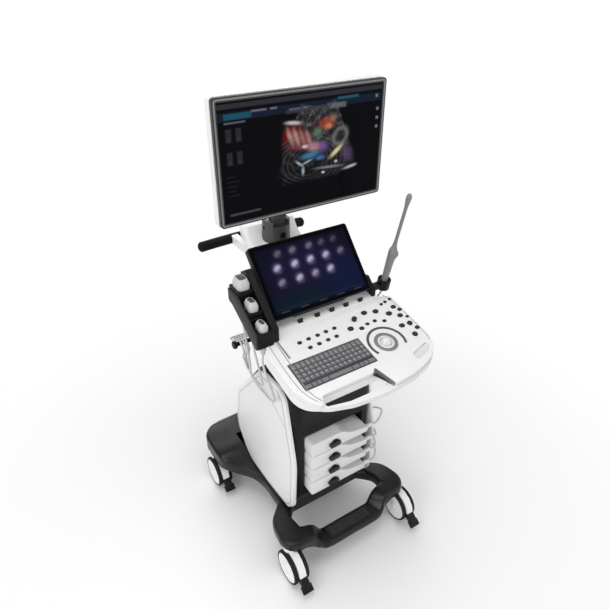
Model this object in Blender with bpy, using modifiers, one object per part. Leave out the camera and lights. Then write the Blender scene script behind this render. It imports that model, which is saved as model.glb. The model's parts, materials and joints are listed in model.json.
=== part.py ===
"""Cart-based ultrasound machine: wheeled base, lifting console, touch screen, monitor on an arm, probes.

Metres, +Z up, the operator stands at -Y. The origin is on the floor, under the middle of the whole machine.
"""

from math import atan2, cos, pi, radians, sin, tan

import bmesh
import bpy
import numpy as np
from mathutils import Matrix, Vector

GAP = 0.0003  # between pieces that touch
RUN = 0.0006  # between pieces that move on each other
FACETS = 20  # of a full turn on most round pieces
SHIFT = 0.0176  # brings the origin under the middle of the machine: every piece moves forward by it
WELD = 2e-6  # vertices this close are one

# Column: a box-shaped tower between two side panels
TOWER_HALF = 0.163
TOWER_FRONT = -0.140
TOWER_BACK = 0.262
TOWER_TOP = 0.700
TOWER_CORNER = 0.035
PANEL_THICK = 0.014

# Base casting with the foot loop
BASE_LOW = 0.092
BASE_TOP = 0.142
WAIST_HALF = 0.182
LOOP_HALF = 0.266
LOOP_FRONT = -0.288
LOOP_BAR = 0.060
WING_HALF = 0.297
WING_BACK = 0.420
WING_TOP = 0.196
TREAD_HALF = 0.096

# Casters
WHEEL_RADIUS = 0.0625
CASTER_HALF = 0.0305  # middle of the caster to the outer face of a wheel
TRAIL = 0.025
STEM_RADIUS = 0.0100
STEM_TOP = 0.158
CASTER_TOP = 0.1370
AXLE_RADIUS = 0.0060
GUARD_HALF = 0.0130
GUARD_TOP = 2 * WHEEL_RADIUS + 0.005
PEDAL_PIVOT = (-TRAIL - WHEEL_RADIUS - 0.0030, 0.0545)
PEDAL_HUB = 0.0144
FRONT_CASTER = (0.244, -0.235)
REAR_CASTER = (0.279, 0.299)

# Recess with the four probe sockets
RECESS_HALF = 0.124
RECESS_LOW = 0.256
PLUG_PITCH = 0.063
PLUG_HEIGHT = 0.0585
PLUG_COUNT = 4
RECESS_DEPTH = 0.045
PLUG_FRONT = -0.180
PLUG_LEFT = -0.118
PLUG_RIGHT = 0.122
PORT_FACE = TOWER_FRONT + RECESS_DEPTH
BOOT_Y = PLUG_FRONT + 0.012
BOOT_RISE = 0.0105
BOOT_END = 0.150
LOCK_RADIUS = 0.014
LOCK_X = -0.022
LOCK_RISE = 0.024

# Lift shroud, which slides in the tower
SHROUD_HALF = 0.112
SHROUD_FRONT = -0.086
SHROUD_BACK = 0.048
SHROUD_LOW = 0.430
HOOK_AT = (0.135, 0.771)
HOOK_REACH = 0.222
HOOK_RADIUS = 0.0080

# Console: its deck slopes down towards the operator
DECK_TILT = radians(12.7)
DECK_PIVOT = (0.0, -0.248, 0.891)
CONSOLE_HALF = 0.251
CONSOLE_FRONT = -0.392
CONSOLE_REAR = 0.236
REAR_HALF = 0.118
REAR_TOP = 0.930
REAR_LOW = 0.874
TOP_THICK = 0.015
BAR_THICK = 0.014
HOUSING_THICK = 0.028
GRIP = (-0.186, 0.010, -0.372, -0.331)
KEYBOARD_SIZE = (0.252, 0.102)
KEYBOARD_AT = (-0.092, -0.250)
KEYBOARD_SUNK = 0.005
BOARD_THICK = 0.0025
BALL_RADIUS = 0.019
BALL_AT = (0.104, -0.251)
BALL_SUNK = 0.003
TOGGLES = (-0.089, -0.026, 0.030, 0.086, 0.143)
TOGGLE_Y = -0.066
SMALL_KEYS = (
    (-0.139, -0.142), (-0.106, -0.140), (-0.073, -0.139), (-0.041, -0.137), (-0.009, -0.136),
    (-0.120, -0.171), (-0.087, -0.170), (-0.054, -0.168), (-0.022, -0.167),
    (0.036, -0.160), (0.071, -0.172), (0.098, -0.165), (0.130, -0.165), (0.157, -0.178),
    (0.215, -0.108), (0.238, -0.103),
)
LARGE_KEYS = (
    (0.118, -0.121), (0.156, -0.133), (0.191, -0.159), (0.220, -0.180),
    (0.226, -0.139), (0.240, -0.158), (0.195, -0.219), (0.240, -0.246),
)
SMALL_RADIUS = 0.0042
LARGE_RADIUS = 0.0068
PRESS_TRAVEL = 0.0015
PRESS_KEYS = (("freeze_key", 0.2265, -0.2200), ("print_key", 0.2100, -0.2640))
KNOB_AT = (0.069, -0.133)
KNOB_RADIUS = 0.0085

# Touch screen
TOUCH_SIZE = (0.367, 0.236)
TOUCH_AT = (0.006, 1.054)
TOUCH_LEAN = radians(48.3)
TOUCH_THICK = 0.022
TOUCH_HINGE = (-0.020, 0.964)
PIN_RADIUS = 0.0060

# Probe holders and probes
CUP_X = -0.235
CUP_HALF = 0.027
CUPS = ((-0.088, 0.957), (-0.028, 0.990), (0.032, 1.027))
CUP_DEPTH = 0.042
PROBE_HEADS = ((0.036, 0.030, 0.046), (0.046, 0.033, 0.050), (0.058, 0.040, 0.056))
PROBE_DROP = 0.078
WAND_AT = (0.250, -0.052, 0.952)
WAND_LEAN = radians(13.6)
WAND_RADIUS = 0.0140

# Monitor, neck and arm
SCREEN_SIZE = (0.556, 0.347)
SCREEN_FRONT = 0.039
SCREEN_MIDDLE = 1.418
BEZEL_THICK = 0.012
BEZEL_RIM = 0.012
MONITOR_SIDE = 0.028
NECK_BACK = 0.272
TURRET_RADIUS = 0.047
TURRET_Y = 0.226
TURRET_LOW = 1.076
TURRET_TOP = 1.150
SPIGOT_RADIUS = 0.018
TURRET_SLOT = 0.030
ARM_PIVOT = (TURRET_Y, 1.126)
HEAD_PIVOT = (0.150, SCREEN_MIDDLE - 0.018)
ARM_RADIUS = 0.019

# Rear handle
HANDLE_AT = (0.408, 1.026)
HANDLE_HALF = 0.207
HANDLE_RADIUS = 0.0180

# Probe cords
CORD_RADIUS = 0.0036
CORD_PITCH = 0.0105
CORD_BEND = 0.034


# ---------------------------------------------------------------- scene, materials


def clear_scene():
    for obj in list(bpy.data.objects):
        bpy.data.objects.remove(obj, do_unlink=True)


def new_collection(name, hidden=False):
    made = bpy.data.collections.new(name)
    made.hide_render = hidden
    bpy.context.scene.collection.children.link(made)
    return made


def material(name, color, roughness, metallic=0.0):
    made = bpy.data.materials.new(name)
    made.use_nodes = True
    shader = made.node_tree.nodes["Principled BSDF"]
    shader.inputs["Base Color"].default_value = (*color, 1.0)
    shader.inputs["Roughness"].default_value = roughness
    shader.inputs["Metallic"].default_value = metallic
    return made


clear_scene()
PARTS = new_collection("ultrasound_machine")
CUTTERS = new_collection("cutters", hidden=True)


# ---------------------------------------------------------------- outlines


def rounded(corners, steps=4):
    """Closed outline of the polygon whose corners are (x, y, radius), each corner an arc."""
    points = []
    for i, (x, y, radius) in enumerate(corners):
        here = Vector((x, y))
        back = Vector(corners[i - 1][:2]) - here
        ahead = Vector(corners[(i + 1) % len(corners)][:2]) - here
        half = back.angle(ahead) / 2
        reach = min(radius / tan(half), 0.49 * min(back.length, ahead.length))
        if radius == 0 or half > radians(89):
            points.append(here)
            continue
        back.normalize()
        ahead.normalize()
        arc = reach * tan(half)
        centre = here + (back + ahead).normalized() * arc / sin(half)
        first = here + back * reach - centre
        turn = first.angle_signed(here + ahead * reach - centre)
        for k in range(steps + 1):
            angle = atan2(first.y, first.x) - turn * k / steps
            points.append(centre + arc * Vector((cos(angle), sin(angle))))
    return points


def box_outline(width, depth, radius, middle=(0.0, 0.0), steps=4):
    x, y = width / 2, depth / 2
    corners = [(-x, -y), (x, -y), (x, y), (-x, y)]
    return rounded([(middle[0] + a, middle[1] + b, radius) for a, b in corners], steps)


def shrunk(outline, amount):
    """The outline moved inwards by amount, each side about its own normal."""
    count = len(outline)
    area = sum(outline[i - 1].cross(outline[i]) for i in range(count))
    side = 1 if area > 0 else -1
    moved = []
    for i in range(count):
        along = (outline[(i + 1) % count] - outline[i - 1]).normalized()
        moved.append(outline[i] + Vector((-along.y, along.x)) * amount * side)
    return moved


# ---------------------------------------------------------------- solids

FLAT = Matrix()
SIDEWAYS = Matrix(((0, 0, 1, 0), (1, 0, 0, 0), (0, 1, 0, 0), (0, 0, 0, 1)))
FACING = Matrix(((1, 0, 0, 0), (0, 0, -1, 0), (0, 1, 0, 0), (0, 0, 0, 1)))
DECK = Matrix.Translation(DECK_PIVOT) @ Matrix.Rotation(DECK_TILT, 4, "X")


def at(x=0.0, y=0.0, z=0.0):
    return Matrix.Translation((x, y, z))


def keep(name, mesh, mat, pivot=(0.0, 0.0, 0.0)):
    """Links a finished part whose origin is at pivot, a point on its joint's axis where it has one."""
    mesh.transform(at(*pivot).inverted())
    x, y, z = pivot
    mesh.shade_smooth()
    mesh.set_sharp_from_angle(angle=radians(35))
    mesh.materials.clear()
    mesh.materials.append(mat)
    made = bpy.data.objects.new(name, mesh)
    made.location = (x, y - SHIFT, z)
    PARTS.objects.link(made)
    return made


def as_mesh(obj):
    """The object as its modifiers leave it, as a mesh in world space. The object is removed."""
    bpy.context.view_layer.update()
    graph = bpy.context.evaluated_depsgraph_get()
    mesh = bpy.data.meshes.new_from_object(obj.evaluated_get(graph))
    mesh.transform(obj.matrix_world)
    bpy.data.objects.remove(obj)
    work = bmesh.new()
    work.from_mesh(mesh)
    bmesh.ops.remove_doubles(work, verts=work.verts, dist=WELD)
    bmesh.ops.dissolve_degenerate(work, edges=work.edges, dist=WELD)
    bmesh.ops.recalc_face_normals(work, faces=work.faces)
    work.to_mesh(mesh)
    work.free()
    return mesh


def linked(name, data, matrix=FLAT):
    made = bpy.data.objects.new(name, data)
    made.matrix_world = matrix
    CUTTERS.objects.link(made)
    return made


def slab(outlines, low, high, matrix=FLAT, bevel=0.0, segments=2):
    """Solid between low and high along the matrix's third axis. Outlines after the first are holes."""
    curve = bpy.data.curves.new("slab", "CURVE")
    curve.dimensions = "2D"
    curve.fill_mode = "BOTH"
    curve.extrude = (high - low) / 2
    for outline in outlines:
        spline = curve.splines.new("POLY")
        spline.points.add(len(outline) - 1)
        for point, place in zip(spline.points, outline):
            point.co = (place.x, place.y, 0.0, 1.0)
        spline.use_cyclic_u = True
    made = linked("slab", curve, matrix @ at(z=(low + high) / 2))
    if bevel:
        weld = made.modifiers.new("weld", "WELD")
        weld.merge_threshold = 1e-5
        edge = made.modifiers.new("bevel", "BEVEL")
        edge.width = bevel
        edge.segments = segments
        edge.limit_method = "ANGLE"
        edge.angle_limit = radians(50)
    return as_mesh(made)


def loft(sections, matrix=FLAT):
    """Closed skin over sections of as many points each, given as lists of (x, y, z)."""
    work = bmesh.new()
    rings = [[work.verts.new(matrix @ Vector(point)) for point in section] for section in sections]
    for low, high in zip(rings, rings[1:]):
        for i in range(len(low)):
            work.faces.new((low[i - 1], low[i], high[i], high[i - 1]))
    work.faces.new(rings[0])
    work.faces.new(rings[-1])
    bmesh.ops.recalc_face_normals(work, faces=work.faces)
    mesh = bpy.data.meshes.new("loft")
    work.to_mesh(mesh)
    work.free()
    return mesh


def stacked(layers, matrix=FLAT):
    """Loft over flat outlines, each given as (outline, height)."""
    return loft([[(p.x, p.y, height) for p in outline] for outline, height in layers], matrix)


def turned(profile, matrix=FLAT, facets=FACETS):
    """Solid of revolution about the matrix's third axis: (radius, height) points, top to bottom."""
    mesh = bpy.data.meshes.new("profile")
    edges = [(i, i + 1) for i in range(len(profile) - 1)]
    mesh.from_pydata([(radius, 0.0, height) for radius, height in profile], edges, [])
    made = linked("turned", mesh, matrix)
    screw = made.modifiers.new("screw", "SCREW")
    screw.axis = "Z"
    screw.steps = facets
    screw.render_steps = facets
    screw.use_merge_vertices = True
    screw.merge_threshold = 1e-5
    return as_mesh(made)


def rod(radius, low, high, matrix=FLAT, facets=FACETS, edge=0.0):
    """Cylinder along the matrix's third axis, its ends chamfered by edge."""
    if not edge:
        return turned([(0, high), (radius, high), (radius, low), (0, low)], matrix, facets)
    top = [(0, high), (radius - edge, high), (radius, high - edge)]
    return turned(top + [(radius, low + edge), (radius - edge, low), (0, low)], matrix, facets)


def block(low, high, bevel=0.0, segments=2, matrix=FLAT):
    """Box from corner to corner."""
    work = bmesh.new()
    size = [b - a for a, b in zip(low, high)]
    middle = [(a + b) / 2 for a, b in zip(low, high)]
    bmesh.ops.create_cube(work, size=1.0, matrix=matrix @ at(*middle) @ Matrix.Diagonal((*size, 1)))
    if bevel:
        bmesh.ops.bevel(work, geom=work.edges, offset=bevel, segments=segments, affect="EDGES", profile=0.5)
    mesh = bpy.data.meshes.new("block")
    work.to_mesh(mesh)
    work.free()
    return mesh


def boolean(mesh, others, operation):
    """The mesh joined with, or cut by, each of the others in turn."""
    target = linked("target", mesh)
    for other in others:
        tool = linked("tool", other)
        tool.display_type = "WIRE"
        modifier = target.modifiers.new(operation.lower(), "BOOLEAN")
        modifier.operation = operation
        modifier.solver = "EXACT"
        modifier.object = tool
    tools = [modifier.object for modifier in target.modifiers]
    result = as_mesh(target)
    for tool in tools:
        bpy.data.objects.remove(tool)
    return result


def cut(mesh, *others):
    return boolean(mesh, others, "DIFFERENCE")


def join(mesh, *others):
    return boolean(mesh, others, "UNION")


def tube(points, radius, resolution=2):
    """Rod that follows the points."""
    curve = bpy.data.curves.new("tube", "CURVE")
    curve.dimensions = "3D"
    curve.bevel_depth = radius
    curve.bevel_resolution = resolution
    curve.use_fill_caps = True
    spline = curve.splines.new("POLY")
    spline.points.add(len(points) - 1)
    for point, place in zip(spline.points, points):
        point.co = (*place, 1.0)
    return as_mesh(linked("tube", curve))


def smooth_path(route, spacing):
    """Evenly spaced points on the smooth curve through the route's own points."""
    ends = [2 * route[0] - route[1]] + route + [2 * route[-1] - route[-2]]
    fine = []
    for a, b, c, d in zip(ends, ends[1:], ends[2:], ends[3:]):
        for k in range(24):
            t = k / 24
            fine.append(0.5 * (2 * b + (c - a) * t + (2 * a - 5 * b + 4 * c - d) * t**2
                               + (3 * b - a - 3 * c + d) * t**3))
    fine.append(route[-1])
    length = sum((q - p).length for p, q in zip(fine, fine[1:]))
    step = length / max(2, round(length / spacing))
    points, walked, target = [fine[0]], 0.0, step
    for p, q in zip(fine, fine[1:]):
        span = (q - p).length
        while walked + span > target and target < length - step / 2:
            points.append(p.lerp(q, (target - walked) / span))
            target += step
        walked += span
    return points + [fine[-1]]


WHITE = material("white_plastic", (0.80, 0.80, 0.79), 0.38)
BLACK = material("black_plastic", (0.030, 0.031, 0.033), 0.45)
CAST = material("cast_base", (0.045, 0.046, 0.050), 0.50)
RUBBER = material("rubber", (0.020, 0.020, 0.020), 0.80)
GREY = material("grey_plastic", (0.16, 0.16, 0.17), 0.50)
PALE = material("pale_grey", (0.55, 0.56, 0.57), 0.45)
GLASS = material("screen_glass", (0.010, 0.010, 0.014), 0.08)
CABLE = material("cable_jacket", (0.45, 0.45, 0.45), 0.60)


# ---------------------------------------------------------------- base


def spline(keys, steps):
    """Smooth curve through the keys, each a row of numbers, with so many steps between neighbours."""
    keys = np.array(keys, float)
    ends = np.vstack([2 * keys[0] - keys[1], keys, 2 * keys[-1] - keys[-2]])
    rows = []
    for a, b, c, d in zip(ends, ends[1:], ends[2:], ends[3:]):
        for t in np.arange(steps) / steps:
            rows.append(0.5 * (2 * b + (c - a) * t + (2 * a - 5 * b + 4 * c - d) * t**2
                               + (3 * b - a - 3 * c + d) * t**3))
    return np.array(rows + [keys[-1]])


def swept(stations, radius, steps=2):
    """Bar along a plan path. Each station is x, y, width, underside and top."""
    sections = []
    for i, (x, y, width, low, high) in enumerate(stations):
        ahead, behind = stations[min(i + 1, len(stations) - 1)], stations[max(i - 1, 0)]
        along = Vector((ahead[0] - behind[0], ahead[1] - behind[1])).normalized()
        ring = box_outline(width, high - low, radius, (0.0, (low + high) / 2), steps)
        sections.append([(x - along.y * p.x, y + along.x * p.x, p.y) for p in ring])
    return loft(sections)


def foot_loop():
    """Bar round the foot opening: it dips at the tread and rises in shoulders over the front casters."""
    x, y = FRONT_CASTER
    bar = LOOP_FRONT + LOOP_BAR / 2
    dip, under = BASE_TOP - 0.024, BASE_LOW - 0.006
    high, arch = BASE_TOP + 0.026, CASTER_TOP - 0.017
    half = [
        (0.0, bar, LOOP_BAR + 0.016, under, dip),
        (TREAD_HALF + 0.004, bar, LOOP_BAR + 0.016, under, dip),
        (TREAD_HALF + 0.026, bar + 0.004, LOOP_BAR + 0.012, under + 0.006, dip + 0.006),
        (TREAD_HALF + 0.052, bar + 0.014, LOOP_BAR + 0.004, arch - 0.022, high - 0.008),
        (TREAD_HALF + 0.090, bar + 0.020, LOOP_BAR + 0.010, arch, high),
        (LOOP_HALF - 0.046, bar + 0.032, LOOP_BAR + 0.028, arch, high + 0.002),
        (LOOP_HALF - 0.042, y + 0.042, LOOP_BAR + 0.024, arch, high + 0.002),
        (LOOP_HALF - 0.048, y + 0.090, LOOP_BAR + 0.014, arch - 0.010, high - 0.006),
        (WAIST_HALF + 0.010, TOWER_FRONT + 0.034, LOOP_BAR + 0.002, BASE_LOW + 0.008, BASE_TOP + 0.008),
        (WAIST_HALF - 0.030, TOWER_FRONT + 0.075, LOOP_BAR, BASE_LOW + 0.001, BASE_TOP - 0.001),
    ]
    mirror = [(-key[0], *key[1:]) for key in reversed(half[1:])]
    return swept(spline(mirror + half, 2), 0.014, 1)


def base_body():
    """Casting under the tower, which spreads into a wing over each rear caster."""
    arch, wing = CASTER_TOP - 0.012, WING_TOP
    keys = [
        (TOWER_FRONT + 0.046, WAIST_HALF, BASE_LOW, BASE_TOP),
        (TOWER_FRONT + 0.120, WAIST_HALF, BASE_LOW, BASE_TOP),
        (TOWER_FRONT + 0.200, WAIST_HALF + 0.001, BASE_LOW, BASE_TOP),
        (0.115, WAIST_HALF + 0.022, BASE_LOW + 0.012, BASE_TOP + 0.006),
        (0.160, WAIST_HALF + 0.062, arch - 0.014, BASE_TOP + 0.022),
        (0.200, WING_HALF - 0.012, arch, wing - 0.010),
        (0.240, WING_HALF, arch, wing),
        (WING_BACK - 0.110, WING_HALF, arch, wing),
        (WING_BACK - 0.060, WING_HALF - 0.006, arch, wing),
        (WING_BACK - 0.022, WING_HALF - 0.036, arch, wing - 0.004),
        (WING_BACK, WING_HALF - 0.085, arch + 0.004, wing - 0.014),
    ]
    sections = []
    for y, half, low, high in spline(keys, 1):
        edge, inner = 0.013, 0.150
        side = [(0, BASE_LOW), (inner - 0.03, BASE_LOW), (inner, low), (half - edge, low), (half - 0.004, low + 0.004),
                (half, low + edge), (half, high - edge), (half - 0.004, high - 0.004), (half - edge, high),
                (inner, high), (inner - 0.03, max(high, BASE_TOP) + 0.001), (0, max(high, BASE_TOP) + 0.001)]
        ring = side + [(-x, z) for x, z in reversed(side[1:-1])]
        sections.append([(x, y, z) for x, z in ring])
    return loft(sections)


def base_frame():
    """Casting: a loop in front for the foot, a waist under the tower, and wings over the rear casters."""
    seat = block((-WAIST_HALF - 0.001, TOWER_FRONT - 0.012, BASE_TOP), (WAIST_HALF + 0.001, 0.298, WING_TOP + 0.05))
    mesh = cut(join(base_body(), foot_loop()), seat)
    for x, y in (FRONT_CASTER, REAR_CASTER):
        for side in (-1, 1):
            low = min(BASE_LOW - 0.020, GUARD_TOP - 0.046)
            swing = turned([
                (0, STEM_TOP + 0.001), (STEM_RADIUS + RUN, STEM_TOP + 0.001), (STEM_RADIUS + RUN, CASTER_TOP + GAP),
                (0.025, CASTER_TOP + GAP), (0.042, GUARD_TOP + 0.003), (0.067, GUARD_TOP - 0.007),
                (0.082, GUARD_TOP - 0.021), (0.092, GUARD_TOP - 0.036), (0.098, low), (0, low)], at(side * x, y), 16)
            mesh = cut(mesh, swing)
    return mesh


def foot_tread():
    """Ribbed rubber tread let down on the bar of the foot loop."""
    low = BASE_TOP - 0.024 + GAP
    width, depth = 2 * TREAD_HALF - 0.012, LOOP_BAR - 0.016
    middle = (0.0, LOOP_FRONT + LOOP_BAR / 2 + 0.001)
    mesh = slab([box_outline(width, depth, 0.006, middle, 2)], low, low + 0.004)
    count = 7
    pitch = (depth - 0.010) / count
    ribs = []
    for k in range(count):
        y = middle[1] - depth / 2 + 0.005 + pitch * (k + 0.5)
        ribs.append(block((-width / 2 + 0.008, y - pitch / 4, low + 0.002), (width / 2 - 0.008, y + pitch / 4, low + 0.0055)))
    return join(mesh, *ribs)


# ---------------------------------------------------------------- casters


def caster_body():
    """Stem, bearing collar and the mudguard that runs between the twin wheels."""
    outer = WHEEL_RADIUS + 0.0050
    inner = outer - 0.013
    axle_y = -TRAIL
    arc = [radians(a) for a in range(6, 199, 24)]
    rim = [Vector((axle_y - outer * cos(a), WHEEL_RADIUS + outer * sin(a))) for a in arc]
    back = [Vector((axle_y - inner * cos(a), WHEEL_RADIUS + inner * sin(a))) for a in reversed(arc)]
    guard = slab([rim + back], -GUARD_HALF, GUARD_HALF, SIDEWAYS)
    web = slab([rounded([(axle_y - 0.013, WHEEL_RADIUS - 0.013, 0.012), (axle_y + 0.013, WHEEL_RADIUS - 0.013, 0.012),
                         (0.026, WHEEL_RADIUS + outer * 0.84, 0.004), (-0.014, WHEEL_RADIUS + outer * 0.93, 0.004)], 3)],
               -GUARD_HALF + 0.0045, GUARD_HALF - 0.0045, SIDEWAYS)
    top = CASTER_TOP
    stem = turned([(0, STEM_TOP), (STEM_RADIUS - 0.001, STEM_TOP), (STEM_RADIUS, STEM_TOP - 0.001),
                   (STEM_RADIUS, top), (0.020, top), (0.022, top - 0.002), (0.022, top - 0.012), (0, top - 0.012)],
                  facets=12)
    bore = rod(AXLE_RADIUS + RUN, -0.05, 0.05, at(0, axle_y, WHEEL_RADIUS) @ SIDEWAYS, 12)
    return cut(join(guard, web, stem), bore)


def caster_wheels():
    """Twin wheels on their axle: rubber tyres round white discs."""
    mid = GUARD_HALF + 0.0015
    profile = [(0, CASTER_HALF - 0.002), (0.020, CASTER_HALF - 0.002), (0.024, CASTER_HALF),
               (WHEEL_RADIUS - 0.0045, CASTER_HALF), (WHEEL_RADIUS, CASTER_HALF - 0.004), (WHEEL_RADIUS, mid),
               (AXLE_RADIUS, mid)]
    whole = profile + [(radius, -height) for radius, height in reversed(profile)]
    return turned(whole, at(0, -TRAIL, WHEEL_RADIUS) @ SIDEWAYS, 16)


def brake_pedal():
    """Foot lever in front of the wheels. Its hub sits between them, under the mudguard's front end."""
    y, z = PEDAL_PIVOT
    outline = [Vector(p) for p in ((y, z + 0.008), (y - 0.020, z + 0.002), (y - 0.040, z - 0.018),
                                   (y - 0.037, z - 0.030), (y - 0.014, z - 0.018), (y, z - 0.010))]
    arm = slab([outline], -0.0080, 0.0080, SIDEWAYS)
    hub = rod(PEDAL_HUB, -GUARD_HALF, GUARD_HALF, at(0, y, z) @ SIDEWAYS, 16)
    pad = block((-0.0150, -0.016, -0.005), (0.0150, 0.010, 0.004), matrix=at(0, y - 0.030, z - 0.019)
                @ Matrix.Rotation(radians(38), 4, "X"))
    return join(arm, hub, pad)


# ---------------------------------------------------------------- tower


def tower_side(extra=0.0):
    """Side view of the tower, as (y, z) points, moved outwards by extra."""
    low, high = BASE_TOP + GAP, TOWER_TOP
    outline = rounded([
        (TOWER_FRONT + 0.045, low, 0), (TOWER_BACK, low, 0), (TOWER_BACK + 0.006, 0.330, 0.10),
        (TOWER_BACK - 0.040, 0.500, 0.10), (SHROUD_BACK + 0.020, high, 0.02), (TOWER_FRONT, high, 0.02),
        (TOWER_FRONT, 0.225, 0.06)], 3)
    return shrunk(outline, -extra) if extra else outline


def tower():
    """Upright housing: rounded front corners, a recess for the plugs, a well on top for the lift."""
    low, high = BASE_TOP, TOWER_TOP
    mesh = slab([tower_side()], -TOWER_HALF, TOWER_HALF, SIDEWAYS)
    corners = [(-TOWER_HALF, TOWER_FRONT, TOWER_CORNER), (TOWER_HALF, TOWER_FRONT, TOWER_CORNER),
               (TOWER_HALF, TOWER_BACK + 0.05, 0.02), (-TOWER_HALF, TOWER_BACK + 0.05, 0.02)]
    plan = slab([rounded(corners, 4)], low - 0.01, high + 0.01)
    mesh = boolean(mesh, [plan], "INTERSECT")
    recess = block((-RECESS_HALF, TOWER_FRONT - 0.02, RECESS_LOW),
                   (RECESS_HALF, TOWER_FRONT + RECESS_DEPTH, RECESS_LOW + PLUG_COUNT * PLUG_PITCH + 0.006))
    well = slab([shroud_outline(-RUN)], SHROUD_LOW - 0.02, high + 0.02)
    return cut(mesh, recess, well)


def shroud_outline(inset):
    width = 2 * (SHROUD_HALF - inset)
    depth = SHROUD_BACK - SHROUD_FRONT - 2 * inset
    return box_outline(width, depth, 0.015, (0.0, (SHROUD_FRONT + SHROUD_BACK) / 2), 3)


def side_panel(side):
    """White leaf-shaped cover, slightly domed, with a seam line near its front edge."""
    corners = [
        (-0.150, 0.205, 0.05), (-0.112, 0.159, 0.03), (0.040, BASE_TOP + 0.004, 0.16), (0.200, BASE_TOP + 0.004, 0.09), (0.292, 0.270, 0.10),
        (0.256, 0.470, 0.09), (0.060, 0.694, 0.09), (-0.098, 0.704, 0.060), (-0.160, 0.420, 0.30),
    ]
    outline = rounded(corners, 3)
    base = TOWER_HALF + GAP
    layers = [(outline, base), (outline, base + 0.006), (shrunk(outline, 0.004), base + PANEL_THICK - 0.003),
              (shrunk(outline, 0.030), base + PANEL_THICK + 0.002)]
    mesh = stacked(layers, SIDEWAYS)
    if side < 0:
        mesh.transform(Matrix.Diagonal((-1, 1, 1, 1)))
        mesh.flip_normals()
    return mesh


def rear_cover():
    """Service cover on the tower's sloping back, with the mains inlet let in near its foot."""
    skin = slab([tower_side(0.012)], -0.150, 0.150, SIDEWAYS)
    core = slab([tower_side(GAP)], -0.2, 0.2, SIDEWAYS)
    window = block((-0.145, 0.080, WING_TOP + 0.018), (0.145, 0.400, TOWER_TOP - 0.050), 0.010, 1)
    inlet = block((0.060, TOWER_BACK + 0.008, 0.236), (0.110, TOWER_BACK + 0.080, 0.270))
    return cut(boolean(cut(skin, core), [window], "INTERSECT"), inlet)


def plug(index):
    """Probe connector: a thick block on the left that thins towards the cable's exit on the right."""
    low = RECESS_LOW + 0.003 + index * PLUG_PITCH
    high = low + PLUG_HEIGHT
    outline = rounded([
        (PLUG_LEFT, low, 0.012), (PLUG_RIGHT, low, 0.006), (PLUG_RIGHT, low + 0.022, 0.006),
        (0.052, low + 0.032, 0.02), (0.006, high, 0.006), (PLUG_LEFT, high, 0.012)], 2)
    mesh = slab([outline], -PORT_FACE + GAP, -PLUG_FRONT, FACING, bevel=0.004, segments=1)
    seat = rod(LOCK_RADIUS + RUN, -PLUG_FRONT - 0.008, -PLUG_FRONT + 0.02, FACING @ at(LOCK_X, low + LOCK_RISE), 12)
    boot = rod(0.0075, PLUG_RIGHT - 0.008, BOOT_END, at(0, BOOT_Y, low + BOOT_RISE) @ SIDEWAYS, 10)
    return join(cut(mesh, seat), boot)


def plug_lock(index):
    """Quarter-turn lock on a plug's face: a round boss with a finger bar."""
    low = RECESS_LOW + 0.003 + index * PLUG_PITCH
    place = FACING @ at(LOCK_X, low + LOCK_RISE)
    boss = rod(LOCK_RADIUS, -PLUG_FRONT - 0.008 + GAP, -PLUG_FRONT + 0.004, place, 12)
    bar = slab([rounded([(-0.021, -0.009, 0.007), (0.016, -0.006, 0.005), (0.016, 0.006, 0.005), (-0.021, 0.004, 0.005)], 1)],
               -PLUG_FRONT + 0.002, -PLUG_FRONT + 0.011, place)
    return join(boss, bar)


# ---------------------------------------------------------------- console


def on_deck(x, y):
    """Plan position as a point in the deck's own plane."""
    return Vector((x, (y - DECK_PIVOT[1]) / cos(DECK_TILT)))


def deck_height(y, below=0.0):
    """Height of the deck, or of a surface so far below it, at plan position y."""
    return DECK_PIVOT[2] + (y - DECK_PIVOT[1]) * tan(DECK_TILT) - below / cos(DECK_TILT)


def in_deck(x, y, height=0.0):
    """Frame whose third axis stands square on the deck."""
    place = on_deck(x, y)
    return DECK @ at(place.x, place.y, height)


def console_plan(rear):
    """Plan corners of the console. The left rear corner is cut away for the hanging probes."""
    half, front = CONSOLE_HALF, CONSOLE_FRONT
    front = [(0.0, front - 0.0015, 0.6), (0.112, front + 0.009, 0.15), (0.188, front + 0.030, 0.12),
             (half - 0.018, front + 0.062, 0.06), (half, front + 0.112, 0.08)]
    left = [(-x, y, r) for x, y, r in reversed(front[1:])]
    return front + [(half, -0.088, 0.02), (0.205, -0.078, 0.02)] + rear + [
        (-0.198, -0.112, 0.01), (-half, -0.124, 0.02)] + left


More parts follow.
